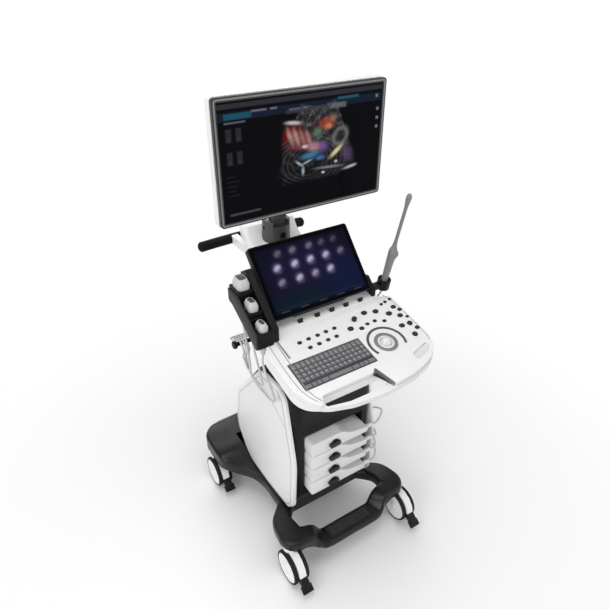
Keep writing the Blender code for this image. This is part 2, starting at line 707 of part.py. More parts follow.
def console_base():
    """Housing under the deck. Its front bar is the hand grip, and its rear carries neck and touch screen."""
    rear = [(0.200, -0.004, 0.03), (REAR_HALF + 0.006, 0.030, 0.03), (REAR_HALF, CONSOLE_REAR, 0.03)]
    rear += [(-x, y, r) for x, y, r in reversed(rear)]
    plan = slab([rounded(console_plan(rear), 2)], 0.7, 1.1)
    sunk = TOP_THICK + GAP
    step = DECK_PIVOT[1] + (REAR_TOP - DECK_PIVOT[2] + sunk / cos(DECK_TILT)) / tan(DECK_TILT)
    flat = DECK_PIVOT[1] + (REAR_LOW - DECK_PIVOT[2] + (sunk + HOUSING_THICK) / cos(DECK_TILT)) / tan(DECK_TILT)
    ledge = GRIP[3] + 0.030
    side = [(-0.46, deck_height(-0.46, sunk + BAR_THICK)), (ledge - 0.050, deck_height(ledge - 0.050, sunk + BAR_THICK)),
            (ledge, deck_height(ledge, sunk + HOUSING_THICK)), (flat, REAR_LOW), (0.300, REAR_LOW),
            (0.300, REAR_TOP), (step, REAR_TOP), (-0.46, deck_height(-0.46, sunk))]
    mesh = boolean(slab([[Vector(p) for p in side]], -0.3, 0.3, SIDEWAYS), [plan], "INTERSECT")
    left, right, low, high = GRIP
    grip = slab([rounded([(left, low + 0.016, 0.006), (left + 0.070, low + 0.002, 0.08), (right + 0.012, low, 0.010),
                          (right, high, 0.008), (left, high, 0.008)], 2)], 0.7, 1.1)
    cup = rod(BALL_RADIUS + 0.0025, -BALL_SUNK - BALL_RADIUS - GAP, 0.01, in_deck(*BALL_AT), 20)
    return cut(mesh, grip, cup)


def board_outline():
    """Board under the keys, as deck points."""
    corners = [(-0.152, -0.184), (0.020, -0.184), (0.060, -0.196), (0.150, -0.204), (0.182, -0.215), (0.184, -0.276),
               (0.236, -0.276), (0.249, -0.255), (0.249, -0.096), (0.100, -0.108), (0.052, -0.122), (-0.152, -0.124)]
    return [on_deck(*corner) for corner in corners]


def console_top():
    """Deck plate: holes for every key, a tray for the keyboard, a socket for the ball, slots for the paddles."""
    left, right, low, high = GRIP
    plan = console_plan([(0.200, -0.010, 0.01), (-0.200, -0.010, 0.01)])
    plan = [corner for corner in plan if corner[0] > right + 0.04 or corner[1] > CONSOLE_FRONT + 0.100]
    plan = [(right + 0.022, CONSOLE_FRONT + 0.002, 0.004)] + plan + [
        (-CONSOLE_HALF + 0.018, CONSOLE_FRONT + 0.062, 0.05), (left - 0.016, low + 0.006, 0.008),
        (left + 0.002, high, 0.010), (right - 0.016, high, 0.02), (right - 0.001, high + 0.018, 0.004)]
    outline = [on_deck(p.x, p.y) for p in rounded(plan, 2)]
    mesh = slab([outline], -TOP_THICK, 0.0, DECK, bevel=0.0025, segments=1)
    pocket = slab([shrunk(board_outline(), -0.001)], -TOP_THICK - 0.01, -TOP_THICK + 0.0055, DECK)
    width, depth = KEYBOARD_SIZE
    tray = block((-width / 2 - RUN, -depth / 2 - RUN, -KEYBOARD_SUNK), (width / 2 + RUN, depth / 2 + RUN, 0.01),
                 matrix=in_deck(*KEYBOARD_AT))
    socket = rod(BALL_RADIUS + RUN, -0.05, 0.02, in_deck(*BALL_AT), 24)
    mesh = cut(mesh, pocket, tray, socket)
    holes = [rod(radius + RUN, -0.02, 0.01, in_deck(x, y), 6)
             for spots, radius in ((SMALL_KEYS, SMALL_RADIUS), (LARGE_KEYS, LARGE_RADIUS)) for x, y in spots]
    holes += [rod(LARGE_RADIUS + 0.0010 + RUN, -0.02, 0.01, in_deck(x, y), 10) for _, x, y in PRESS_KEYS]
    holes += [rod(0.0030 + RUN, -0.02, 0.01, in_deck(*KNOB_AT), 8)]
    holes += [block((-0.0095, -0.0075, -0.0075), (0.0095, 0.0075, 0.01), matrix=in_deck(x, TOGGLE_Y))
              for x in TOGGLES]
    return cut(mesh, merged(holes))


def merged(meshes):
    """One mesh of several closed bodies that don't touch each other."""
    work = bmesh.new()
    for mesh in meshes:
        work.from_mesh(mesh)
    result = bpy.data.meshes.new("merged")
    work.to_mesh(result)
    work.free()
    return result


def keyboard():
    """Key field: five rows of square keys on one tray, the last with a long bar."""
    width, depth = KEYBOARD_SIZE
    place = in_deck(*KEYBOARD_AT, -KEYBOARD_SUNK + GAP)
    tray = block((-width / 2, -depth / 2, 0.0), (width / 2, depth / 2, KEYBOARD_SUNK - 0.0015), matrix=place)
    rows, columns = 5, 12
    pitch_x, pitch_y = (width - 0.008) / columns, (depth - 0.008) / rows
    keys = []
    for row in range(rows):
        spans = [1] * columns if row else [1, 1, 1, 5, 1, 1, 1, 1]
        start = 0
        for span in spans:
            x = -width / 2 + 0.004 + pitch_x * start
            y = -depth / 2 + 0.004 + pitch_y * row
            start += span
            low = [Vector(p) for p in ((x + 0.0012, y + 0.0012), (x + pitch_x * span - 0.0012, y + 0.0012),
                                       (x + pitch_x * span - 0.0012, y + pitch_y - 0.0012),
                                       (x + 0.0012, y + pitch_y - 0.0012))]
            layers = [(low, KEYBOARD_SUNK - 0.0025), (shrunk(low, 0.0014), KEYBOARD_SUNK + 0.0018)]
            keys.append(stacked(layers, place))
    return join(tray, merged(keys))


def button_board():
    """Board that carries the fixed key caps, which stand up through the deck."""
    low = -TOP_THICK
    board = slab([board_outline()], low, low + BOARD_THICK, DECK)
    caps = [rod(radius, low + 0.001, top, in_deck(x, y), 6)
            for spots, radius, top in ((SMALL_KEYS, SMALL_RADIUS, 0.0022), (LARGE_KEYS, LARGE_RADIUS, 0.0036))
            for x, y in spots]
    return join(board, merged(caps))


def press_key(x, y):
    radius = LARGE_RADIUS + 0.0010
    low = -TOP_THICK + BOARD_THICK + PRESS_TRAVEL + GAP
    return turned([(0, 0.0042), (radius - 0.0012, 0.0042), (radius, 0.0030), (radius, low), (0, low)],
                  in_deck(x, y), 10)


def gain_knob():
    """Round knob on a shaft through the deck."""
    low = -TOP_THICK + BOARD_THICK + GAP
    return turned([(0, 0.0115), (KNOB_RADIUS - 0.0025, 0.0115), (KNOB_RADIUS - 0.0008, 0.0098),
                   (KNOB_RADIUS, RUN), (0.0030, RUN), (0.0030, low), (0, low)], in_deck(*KNOB_AT), 12)


def toggle(x):
    """Paddle on a barrel that turns in its slot."""
    place = in_deck(x, TOGGLE_Y, -0.0035)
    barrel = rod(0.0035, -0.0090, 0.0090, place @ SIDEWAYS, 8)
    outline = rounded([(-0.0028, 0.0, 0), (0.0028, 0.0, 0), (0.0042, 0.0125, 0.002), (-0.0030, 0.0125, 0.002)], 1)
    return join(barrel, slab([outline], -0.0080, 0.0080, place @ SIDEWAYS))


def trackball():
    steps = 8
    arc = [pi * k / steps for k in range(steps + 1)]
    profile = [(BALL_RADIUS * sin(a), BALL_RADIUS * cos(a)) for a in arc]
    profile[0], profile[-1] = (0, BALL_RADIUS), (0, -BALL_RADIUS)
    return turned(profile, in_deck(*BALL_AT, -BALL_SUNK), 16)


def lift_shroud():
    """Sliding column under the console, with a cable hook on either side."""
    low, high = SHROUD_LOW, REAR_LOW - GAP
    mesh = slab([shroud_outline(0.0)], low, high)
    middle = (0.0, (SHROUD_FRONT + SHROUD_BACK) / 2 + 0.012)
    head = stacked([(box_outline(2 * SHROUD_HALF - 0.004, 0.120, 0.014, middle, 2), high - 0.062),
                    (box_outline(0.330, 0.176, 0.020, middle, 2), high - 0.016),
                    (box_outline(0.330, 0.176, 0.020, middle, 2), high)])
    y, z = HOOK_AT
    hooks = []
    for side in (-1, 1):
        route = [Vector(p) for p in ((side * 0.090, SHROUD_BACK - 0.020, z), (side * 0.118, SHROUD_BACK + 0.030, z),
                                     (side * 0.140, y - 0.012, z), (side * 0.165, y, z), (side * HOOK_REACH, y, z))]
        hooks.append(tube(smooth_path(route, 0.026), HOOK_RADIUS))
        hooks.append(rod(0.014, -0.006, 0.006, at(side * (HOOK_REACH + 0.004), y, z) @ SIDEWAYS, 12, 0.002))
    return join(mesh, head, *hooks)


# ---------------------------------------------------------------- touch screen


TOUCH = at(0.0, *TOUCH_AT) @ Matrix.Rotation(TOUCH_LEAN, 4, "X")


def touch_housing():
    """Shell of the touch screen with two hinge ears low on its back."""
    width, depth = TOUCH_SIZE
    shell = slab([box_outline(width, depth, 0.009, steps=3)], -TOUCH_THICK, -0.0016, TOUCH, bevel=0.003, segments=1)
    y, z = TOUCH_HINGE
    foot = TOUCH @ Vector((0.0, -depth / 2 + 0.050, -TOUCH_THICK + 0.003))
    head = TOUCH @ Vector((0.0, -depth / 2 + 0.016, -TOUCH_THICK + 0.003))
    ears = []
    for side in (-1, 1):
        outline = [Vector((head.y, head.z)), Vector((y - 0.008, z - 0.010)), Vector((y + 0.010, z - 0.008)),
                   Vector((y + 0.011, z + 0.006)), Vector((foot.y, foot.z))]
        low, high = sorted((side * 0.050, side * 0.066))
        ears.append(slab([outline], low, high, SIDEWAYS))
    bore = rod(PIN_RADIUS + RUN, -0.10, 0.10, at(0, y, z) @ SIDEWAYS, 16)
    return cut(join(shell, *ears), bore)


def touch_glass():
    width, depth = TOUCH_SIZE
    return slab([box_outline(width - 0.008, depth - 0.008, 0.006, steps=3)], -0.0013, 0.0, TOUCH)


def touch_bracket():
    """Foot on the deck with two lugs and the hinge pin between them."""
    y, z = TOUCH_HINGE
    foot = block((-0.100, -0.024, GAP), (0.100, 0.008, 0.005), 0.001, 1, in_deck(0.0, y))
    pin = rod(PIN_RADIUS, -0.088, 0.088, at(0, y, z) @ SIDEWAYS, 16)
    lugs = []
    for side in (-1, 1):
        base = deck_height(y) + 0.002
        outline = rounded([(y - 0.018, base - 0.002, 0), (y + 0.007, base + 0.002, 0), (y + 0.009, z + 0.006, 0.006),
                           (y - 0.009, z + 0.009, 0.006)], 2)
        low, high = sorted((side * 0.078, side * 0.092))
        lugs.append(slab([outline], low, high, SIDEWAYS))
    return join(foot, pin, *lugs)


# ---------------------------------------------------------------- probes and holders


def holder_left():
    """Rack of three stepped cups outside the console, on a plate that stands on the deck."""
    steps = []
    for (y, z), ahead in zip(CUPS, (0.024, 0.031, 0.031)):
        steps.append(block((CUP_X - CUP_HALF, y - ahead, z - CUP_DEPTH), (CUP_X + CUP_HALF, y + 0.030, z), 0.003, 1))
    wall = 0.0012
    plate = [(-0.110, deck_height(-0.110) + wall), (-0.012, deck_height(-0.012) + wall), (0.070, 1.010),
             (0.078, 1.076), (0.050, 1.094), (-0.012, 1.046), (-0.110, 0.966)]
    side = slab([[Vector(p) for p in plate]], CUP_X + CUP_HALF - 0.004, -0.190, SIDEWAYS)
    mesh = join(side, *steps)
    holes = [slab([box_outline(0.029, 0.038, 0.013, (CUP_X, y), 3)], z - 0.08, z + 0.01) for y, z in CUPS]
    return cut(mesh, *holes)


def probe(index):
    """Hand probe hanging in its cup: a broad head above the rim, a slim grip below it."""
    y, z = CUPS[index]
    rise, thick, broad = PROBE_HEADS[index]
    middle = (CUP_X, y)
    layers = [
        (box_outline(0.013, 0.013, 0.006, middle, 2), z - PROBE_DROP),
        (box_outline(0.018, 0.020, 0.008, middle, 2), z - PROBE_DROP + 0.012),
        (box_outline(0.023, 0.030, 0.010, middle, 2), z - 0.018),
        (box_outline(0.025, 0.034, 0.011, middle, 2), z + GAP),
        (box_outline(thick, broad - 0.004, 0.013, middle, 2), z + GAP + 0.001),
        (box_outline(thick - 0.001, broad, 0.013, middle, 2), z + rise * 0.72),
        (box_outline(thick - 0.012, broad - 0.012, 0.009, middle, 2), z + rise),
    ]
    return stacked(layers)


WAND = at(*WAND_AT) @ Matrix.Rotation(WAND_LEAN, 4, "X")


def wand_probe():
    """Endocavity probe: a grip with a bulge, a long thin shaft and a round tip."""
    r = WAND_RADIUS
    profile = [(0, 0.3560), (0.0050, 0.3540), (0.0082, 0.3480), (0.0088, 0.3380), (0.0072, 0.3240),
               (0.0056, 0.3100), (0.0056, 0.1900), (0.0080, 0.1620), (r + 0.001, 0.1420), (r, 0.1280),
               (r - 0.0010, 0.0500), (r - 0.0010, 0.0020), (r - 0.0060, -0.0180), (0, -0.0180)]
    return turned(profile, WAND, 12)


def holder_right():
    """Cup for the endocavity probe on an arm that stands on the deck's rear right corner."""
    r = WAND_RADIUS
    cup = turned([(r + 0.0085, 0.024), (r + 0.0095, -0.010), (r - 0.0025, -0.010), (r - 0.0002, 0.002),
                  (r - 0.0002, 0.024), (r + 0.0085, 0.024)], WAND, 16)
    wall = 0.0012
    plate = [(-0.070, deck_height(-0.070) + wall), (-0.014, deck_height(-0.014) + wall), (-0.004, 0.985),
             (-0.030, 0.990), (-0.070, 0.952)]
    side = slab([[Vector(p) for p in plate]], 0.190, 0.204, SIDEWAYS)
    arm = block((0.198, -0.062, 0.944), (0.232, -0.038, 0.962), 0.002, 1)
    return join(cup, arm, side)


# ---------------------------------------------------------------- neck, arm, monitor


def neck_cover():
    """White neck behind the touch screen. It leans back, widens upwards and holds turret and rear handle."""
    shape = ((REAR_TOP + GAP, 0.086, 0.110, 0.205), (0.990, 0.090, 0.132, 0.218), (1.037, 0.096, 0.168, 0.250),
             (1.061, 0.098, 0.202, 0.281), (1.086, 0.100, 0.245, 0.305), (1.112, 0.100, 0.262, 0.317),
             (1.122, 0.096, 0.268, 0.313))
    mesh = stacked([(box_outline(2 * half, back - front, 0.014, (0.0, (front + back) / 2), 2), z)
                    for z, half, front, back in shape])
    post = rod(TURRET_RADIUS + 0.002, 0.960, TURRET_LOW, at(0, TURRET_Y))
    pad = block((-0.090, NECK_BACK - 0.060, HANDLE_AT[1] - 0.026), (0.090, NECK_BACK, HANDLE_AT[1] + 0.024), 0.004, 1)
    swing = rod(TURRET_RADIUS + 0.0015, TURRET_LOW + 0.0001, 1.2, at(0, TURRET_Y), 24)
    bearing = rod(SPIGOT_RADIUS + 2 * RUN, TURRET_LOW - 0.030, 1.2, at(0, TURRET_Y), 24)
    return cut(join(mesh, post, pad), swing, bearing)


def rear_handle():
    """Bar to push the machine, on two short arms behind the neck."""
    y, z = HANDLE_AT
    bow = 0.010
    route = [Vector((HANDLE_HALF * t, y - bow * t * t, z)) for t in (-1, -0.7, -0.36, 0, 0.36, 0.7, 1)]
    bar = tube(route, HANDLE_RADIUS, 3)
    arms = [block((x - 0.012, NECK_BACK + GAP, z - 0.013), (x + 0.012, y - 0.003, z + 0.013), 0.003, 1)
            for x in (-0.075, 0.075)]
    return join(bar, *arms)


def arm_knuckle():
    """Turret let into the neck. A slot across it takes the arm, which tilts on a pin."""
    y, z = ARM_PIVOT
    low = TURRET_LOW + GAP
    drum = rod(TURRET_RADIUS, low, TURRET_TOP, at(0, TURRET_Y), 24, 0.003)
    spigot = rod(SPIGOT_RADIUS, TURRET_LOW - 0.028, low + 0.004, at(0, TURRET_Y), 24)
    slot = block((-TURRET_SLOT, y - 0.030, z - 0.024), (TURRET_SLOT, y + 0.080, TURRET_TOP + 0.010))
    crown = block((-TURRET_SLOT, y - 0.080, z + 0.006), (TURRET_SLOT, y + 0.080, TURRET_TOP + 0.010))
    bore = rod(PIN_RADIUS + RUN, -0.1, 0.1, at(0, y, z) @ SIDEWAYS, 10)
    return cut(join(drum, spigot), slot, crown, bore)


def arm_link():
    """Arm from the turret to the monitor, with its pin below and a bored barrel above."""
    (y0, z0), (y1, z1) = ARM_PIVOT, HEAD_PIVOT
    half = TURRET_SLOT - RUN
    barrel = rod(ARM_RADIUS, -half, half, at(0, y0, z0) @ SIDEWAYS, 16)
    pin = rod(PIN_RADIUS, -TURRET_RADIUS + 0.006, TURRET_RADIUS - 0.006, at(0, y0, z0) @ SIDEWAYS, 10)
    head = rod(ARM_RADIUS - 0.003, -half + 0.006, half - 0.006, at(0, y1, z1) @ SIDEWAYS, 16)
    along = Vector((y1 - y0, z1 - z0)).normalized()
    side = Vector((along.y, -along.x))
    low, high = Vector((y0, z0)), Vector((y1, z1))
    bar = slab([[low - side * 0.017, low + side * 0.017, high + side * 0.013, high - side * 0.013]],
               -half + 0.0065, half - 0.0065, SIDEWAYS)
    bore = rod(PIN_RADIUS + RUN, -0.1, 0.1, at(0, y1, z1) @ SIDEWAYS, 10)
    return cut(join(barrel, pin, head, bar), bore)


def screen_outline(inset, radius):
    width, height = SCREEN_SIZE
    return box_outline(width - 2 * inset, height - 2 * inset, radius, (0.0, SCREEN_MIDDLE), 3)


def monitor_bezel():
    front = -SCREEN_FRONT
    frame = slab([screen_outline(0.0, 0.010)], front - BEZEL_THICK, front, FACING, bevel=0.0025, segments=1)
    opening = slab([screen_outline(BEZEL_RIM, 0.003)], front - 0.0080, front + 0.01, FACING)
    return cut(frame, opening)


def monitor_glass():
    front = -SCREEN_FRONT
    return slab([screen_outline(BEZEL_RIM + GAP, 0.003)], front - 0.0080 + GAP, front - 0.0030, FACING)


def monitor_back():
    """White shell: straight sides, then a taper to the clevis that takes the arm."""
    front = -SCREEN_FRONT - BEZEL_THICK - GAP
    layers = [(screen_outline(-0.002, 0.012), front), (screen_outline(-0.002, 0.012), front - MONITOR_SIDE + 0.004),
              (screen_outline(0.003, 0.012), front - MONITOR_SIDE), (screen_outline(0.060, 0.030), front - 0.046),
              (screen_outline(0.085, 0.030), front - 0.054)]
    shell = stacked(layers, FACING)
    y, z = HEAD_PIVOT
    start = SCREEN_FRONT + BEZEL_THICK + 0.050
    inner = TURRET_SLOT - 0.0055
    lugs = []
    for side in (-1, 1):
        outline = rounded([(start, z - 0.026, 0), (y + 0.004, z - 0.015, 0.010), (y + 0.015, z, 0.012),
                           (y + 0.004, z + 0.015, 0.010), (start, z + 0.026, 0)], 2)
        low, high = sorted((side * inner, side * (inner + 0.012)))
        lugs.append(slab([outline], low, high, SIDEWAYS))
    pin = rod(PIN_RADIUS, -inner - 0.006, inner + 0.006, at(0, y, z) @ SIDEWAYS, 10)
    return join(shell, *lugs, pin)


# ---------------------------------------------------------------- cords


def plug_exit(index):
    """Where a cord leaves the boot of a plug."""
    return Vector((BOOT_END + GAP, BOOT_Y, RECESS_LOW + 0.003 + index * PLUG_PITCH + BOOT_RISE))


def over_hook(x, reverse=False):
    """Points that lay a cord over a hook at x, from the front to the back, or from the back if reversed."""
    y, z = HOOK_AT
    low = z + HOOK_RADIUS + CORD_RADIUS + 0.0046 - CORD_BEND
    points = [(x, y + CORD_BEND * cos(a), low + CORD_BEND * sin(a)) for a in (radians(165), radians(90), radians(15))]
    return points[::-1] if reverse else points


def rack_route(nest):
    """Cord from a plug up over the right hook, behind the column, over the left hook and up to a probe."""
    start = plug_exit(2 - nest)
    y, z = CUPS[nest]
    out = 0.188 + CORD_PITCH * nest
    back = 0.202 + CORD_PITCH * nest
    foot = 0.640 + 0.034 * nest
    front = HOOK_AT[0] - 0.026
    points = [
        start, start + Vector((0.024, 0, 0)), (out - 0.002, -0.134, start.z + 0.004), (out + 0.004, -0.076, start.z + 0.050),
        (out + 0.004, -0.040, 0.590), (out + 0.004, 0.000, 0.700), (out + 0.002, 0.052, 0.744), *over_hook(out),
        (out - 0.003, back - 0.012, 0.744), (out - 0.030, back - 0.001, 0.739), (0.0, back + 0.006, 0.730),
        (0.030 - out, back - 0.001, 0.739), (0.003 - out, back - 0.012, 0.744), *over_hook(-out, reverse=True),
        (-out - 0.001, front, 0.730), (-out - 0.002, front - 0.012, foot + 0.018), (-out - 0.004, (front + y) / 2, foot),
        (-out - 0.010, y + 0.006, foot + 0.030), (CUP_X, y, z - PROBE_DROP - 0.050),
        (CUP_X, y, z - PROBE_DROP - 2 * GAP),
    ]
    return [Vector(p) for p in points]


def wand_route():
    """Cord from the top plug down in a loop beside the column and up to the endocavity probe."""
    start = plug_exit(3)
    end = WAND @ Vector((0, 0, -0.018 - 2 * GAP))
    points = [
        start, start + Vector((0.024, 0, 0)), (0.226, -0.132, start.z), (0.243, -0.072, start.z - 0.040),
        (0.246, -0.020, 0.370), (0.248, 0.024, 0.420), (0.249, 0.026, 0.560), (0.250, 0.010, 0.740),
        (0.2505, -0.020, 0.870), end + (end - WAND @ Vector((0, 0, 0.012))) * 0.6, end,
    ]
    return [Vector(p) for p in points]


def build_lower():
    keep("base_frame", base_frame(), CAST)
    keep("foot_tread", foot_tread(), RUBBER)
    for label, (x, y), in (("front", FRONT_CASTER), ("rear", REAR_CASTER)):
        for word, side in (("left", -1), ("right", 1)):
            place = at(side * x, y)
            pieces = (("caster_body", caster_body(), WHITE, (0, 0, CASTER_TOP)),
                      ("caster_wheels", caster_wheels(), RUBBER, (0, -TRAIL, WHEEL_RADIUS)),
                      ("brake_pedal", brake_pedal(), BLACK, (0, *PEDAL_PIVOT)))
            for name, mesh, mat, pivot in pieces:
                mesh.transform(place)
                keep(f"{name}_{label}_{word}", mesh, mat, place @ Vector(pivot))
    keep("tower", tower(), BLACK)
    keep("side_panel_left", side_panel(-1), WHITE)
    keep("side_panel_right", side_panel(1), WHITE)
    keep("rear_cover", rear_cover(), PALE)
    for index in range(PLUG_COUNT):
        keep(f"probe_plug_{index + 1}", plug(index), WHITE)
        low = RECESS_LOW + 0.003 + index * PLUG_PITCH
        keep(f"plug_lock_{index + 1}", plug_lock(index), BLACK, (LOCK_X, PLUG_FRONT, low + LOCK_RISE))


def build_console():
    keep("lift_shroud", lift_shroud(), BLACK)
    keep("console_base", console_base(), WHITE)
    keep("console_top", console_top(), WHITE)
    keep("keyboard", keyboard(), GREY)
    keep("button_board", button_board(), GREY)
    for name, x, y in PRESS_KEYS:
        keep(name, press_key(x, y), GREY, in_deck(x, y).translation)
    keep("gain_knob", gain_knob(), BLACK, in_deck(*KNOB_AT).translation)
    for index, x in enumerate(TOGGLES):
        keep(f"toggle_{index + 1}", toggle(x), BLACK, in_deck(x, TOGGLE_Y, -0.0035).translation)
    keep("trackball", trackball(), GREY, in_deck(*BALL_AT, -BALL_SUNK).translation)
    hinge = (0, *TOUCH_HINGE)
    keep("touch_bracket", touch_bracket(), BLACK)
    keep("touch_housing", touch_housing(), BLACK, hinge)
    keep("touch_glass", touch_glass(), GLASS, hinge)
    keep("holder_left", holder_left(), BLACK)
    keep("holder_right", holder_right(), BLACK)


def build_upper():
    keep("neck_cover", neck_cover(), WHITE)
    keep("rear_handle", rear_handle(), BLACK)
    keep("arm_knuckle", arm_knuckle(), GREY, (0, TURRET_Y, TURRET_LOW))
    keep("arm_link", arm_link(), GREY, (0, *ARM_PIVOT))
    head = (0, *HEAD_PIVOT)
    keep("monitor_back", monitor_back(), WHITE, head)
    keep("monitor_bezel", monitor_bezel(), GREY, head)
    keep("monitor_glass", monitor_glass(), GLASS, head)


def build_probes():
    for index, label in enumerate(("linear", "phased", "convex")):
        keep(f"probe_{label}", probe(index), PALE)
        route = smooth_path(rack_route(index), 0.024)
        keep(f"cord_{label}", tube(route, CORD_RADIUS), CABLE)
    keep("probe_endocavity", wand_probe(), PALE)
    keep("cord_endocavity", tube(smooth_path(wand_route(), 0.028), CORD_RADIUS), CABLE)


build_lower()
build_console()
build_upper()
build_probes()
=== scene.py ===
"""Looks of a cart-based ultrasound machine, built piece by piece around its CAD frame.

Metres, +Z up, the operator stands at -Y.
"""

import json
from math import atan2, cos, pi, radians, sin, tan

import bmesh
import bpy
import numpy as np
from mathutils import Matrix, Vector
from mathutils.bvhtree import BVHTree

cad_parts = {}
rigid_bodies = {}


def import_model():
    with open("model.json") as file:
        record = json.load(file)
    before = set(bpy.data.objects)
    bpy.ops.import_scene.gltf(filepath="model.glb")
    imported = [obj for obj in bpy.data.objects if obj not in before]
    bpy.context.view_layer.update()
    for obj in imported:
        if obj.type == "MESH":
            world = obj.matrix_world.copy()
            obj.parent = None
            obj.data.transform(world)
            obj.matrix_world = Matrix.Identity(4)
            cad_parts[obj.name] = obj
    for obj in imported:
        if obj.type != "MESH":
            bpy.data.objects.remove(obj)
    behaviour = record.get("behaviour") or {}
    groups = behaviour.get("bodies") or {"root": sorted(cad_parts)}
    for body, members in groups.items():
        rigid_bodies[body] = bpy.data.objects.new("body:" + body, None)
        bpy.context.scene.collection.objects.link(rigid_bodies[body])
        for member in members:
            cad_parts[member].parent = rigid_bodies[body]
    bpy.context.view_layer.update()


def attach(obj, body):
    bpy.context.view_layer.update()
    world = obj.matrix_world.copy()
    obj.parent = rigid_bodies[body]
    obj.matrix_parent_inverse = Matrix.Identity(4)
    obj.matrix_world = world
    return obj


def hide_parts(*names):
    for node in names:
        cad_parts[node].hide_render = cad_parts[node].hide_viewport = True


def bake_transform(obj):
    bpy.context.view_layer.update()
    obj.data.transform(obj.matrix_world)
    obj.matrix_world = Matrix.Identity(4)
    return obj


for obj in list(bpy.data.objects):
    bpy.data.objects.remove(obj, do_unlink=True)
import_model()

# ---------------------------------------------------------------- camera, floor and lights
# A seamless pale sweep, as in a product studio: the floor and the backdrop are one white sheet.
# Large soft lamps from the left, from above and from the right give flat light with a soft shadow.

SCENE = bpy.context.scene
EYE = (-0.839, -1.2796, 1.871)
FLOOR_CORNERS, FLOOR_HEIGHT = ((-40, -40), (40, -40), (40, 40), (-40, 40)), -0.0005
SHADOW_REACH, WHITE_REACH = 0.35, 1.7  # the floor's own shading fades into plain white between these radii
WORLD_LEVEL = 0.50
LAMPS = (  # name, place, aim, side, watts
    ("window_left", (-2.8, -1.3, 2.0), (0, 0, 0.7), 2.2, 42),
    ("overhead", (-0.3, -0.3, 3.6), (0, 0, 0.6), 2.0, 38),
    ("front_right", (1.9, -2.8, 1.9), (0, 0, 0.8), 2.0, 15),
    ("back_sheet", (0.8, 2.8, 2.2), (0, 0, 1.0), 2.2, 20),
)


def at(x=0.0, y=0.0, z=0.0):
    return Matrix.Translation((x, y, z))


def turn(degrees, axis):
    return Matrix.Rotation(radians(degrees), 4, axis)


def placed(name, data, matrix=Matrix(), group=SCENE.collection):
    """New object at this place, in this collection."""
    made = bpy.data.objects.new(name, data)
    made.matrix_world = matrix
    group.objects.link(made)
    return made


def wire(tree, made, **settings):
    """Sets a node's properties and inputs, i0 being the first input. A value that is a socket is linked."""
    for key, value in settings.items():
        is_socket = isinstance(value, bpy.types.NodeSocket)
        if hasattr(made, key) and not is_socket:
            setattr(made, key, value)
            continue
        socket = made.inputs[int(key[1:]) if key[0] == "i" and key[1:].isdigit() else key.replace("_", " ")]
        if is_socket:
            tree.links.new(value, socket)
        else:
            socket.default_value = value
    return made


def node(tree, kind, **settings):
    return wire(tree, tree.nodes.new(kind), **settings)


def maths(tree, operation, *values):
    """Output of a Math node."""
    inputs = {f"i{k}": value for k, value in enumerate(values)}
    return node(tree, "ShaderNodeMath", operation=operation, **inputs).outputs[0]


def principled(name, **settings):
    """New material, its tree and its shader."""
    made = bpy.data.materials.new(name)
    made.use_nodes = True
    return made, made.node_tree, wire(made.node_tree, made.node_tree.nodes["Principled BSDF"], **settings)


camera = bpy.data.cameras.new("camera")
camera.sensor_width, camera.lens, camera.clip_start = 36, 32.39, 0.05
SCENE.camera = placed("camera", camera, at(*EYE) @ turn(-32.63, "Z") @ turn(90 - 31.89, "X"))
SCENE.view_settings.view_transform = "Standard"

world = bpy.data.worlds.new("studio")
world.use_nodes = True
SCENE.world, sky = world, world.node_tree
ray = node(sky, "ShaderNodeLightPath").outputs
seen = maths(sky, "MAXIMUM", ray["Is Camera Ray"], ray["Is Transmission Ray"])
level = node(sky, "ShaderNodeMapRange", Value=seen, To_Min=WORLD_LEVEL, To_Max=1.0)
wire(sky, sky.nodes["Background"], Color=(1, 1, 1, 1), Strength=level.outputs["Result"])

paper, sheet, matt = principled("studio_paper", Base_Color=(0.93, 0.93, 0.93, 1), Roughness=0.9,
                                Specular_IOR_Level=0.0)
middle = node(sheet, "ShaderNodeTexCoord").outputs["Object"]
reach = node(sheet, "ShaderNodeVectorMath", operation="LENGTH", i0=middle).outputs["Value"]
fade = node(sheet, "ShaderNodeMapRange", interpolation_type="SMOOTHSTEP", Value=reach, From_Min=SHADOW_REACH,
            From_Max=WHITE_REACH).outputs["Result"]
ray = node(sheet, "ShaderNodeLightPath").outputs
share = maths(sheet, "MULTIPLY", fade, maths(sheet, "MAXIMUM", ray["Is Camera Ray"], ray["Is Glossy Ray"]))
glow = node(sheet, "ShaderNodeEmission").outputs[0]
both = node(sheet, "ShaderNodeMixShader", Fac=share, i1=matt.outputs[0], i2=glow).outputs[0]
wire(sheet, sheet.nodes["Material Output"], Surface=both)
floor_mesh = bpy.data.meshes.new("studio_floor")
floor_mesh.from_pydata([(x, y, FLOOR_HEIGHT) for x, y in FLOOR_CORNERS], [], [(0, 1, 2, 3)])
floor_mesh.materials.append(paper)
floor = placed("studio_floor", floor_mesh)

for name, place, aim, size, watts in LAMPS:
    lamp = bpy.data.lights.new(name, "AREA")
    lamp.shape, lamp.size, lamp.energy = "SQUARE", size, watts
    facing = (Vector(aim) - Vector(place)).to_track_quat("-Z", "Y")
    placed(name, lamp, at(*place) @ facing.to_matrix().to_4x4())

# ---------------------------------------------------------------- probe cords
# Soft round cords, each from the boot of its plug, over the hooks on the lift column and up to its probe.
# The jacket is pale grey silicone.

AHEAD = 0.0176  # the frame's origin lies this far behind the origin that the sizes below are counted from
GAP = 0.0003  # between parts that stand still
RUN = 0.0006  # round a part that moves
WELD = 2e-6
SCRATCH = bpy.data.collections.new("scratch")
SCENE.collection.children.link(SCRATCH)


def linked(name, data, matrix=Matrix()):
    return placed(name, data, matrix, SCRATCH)


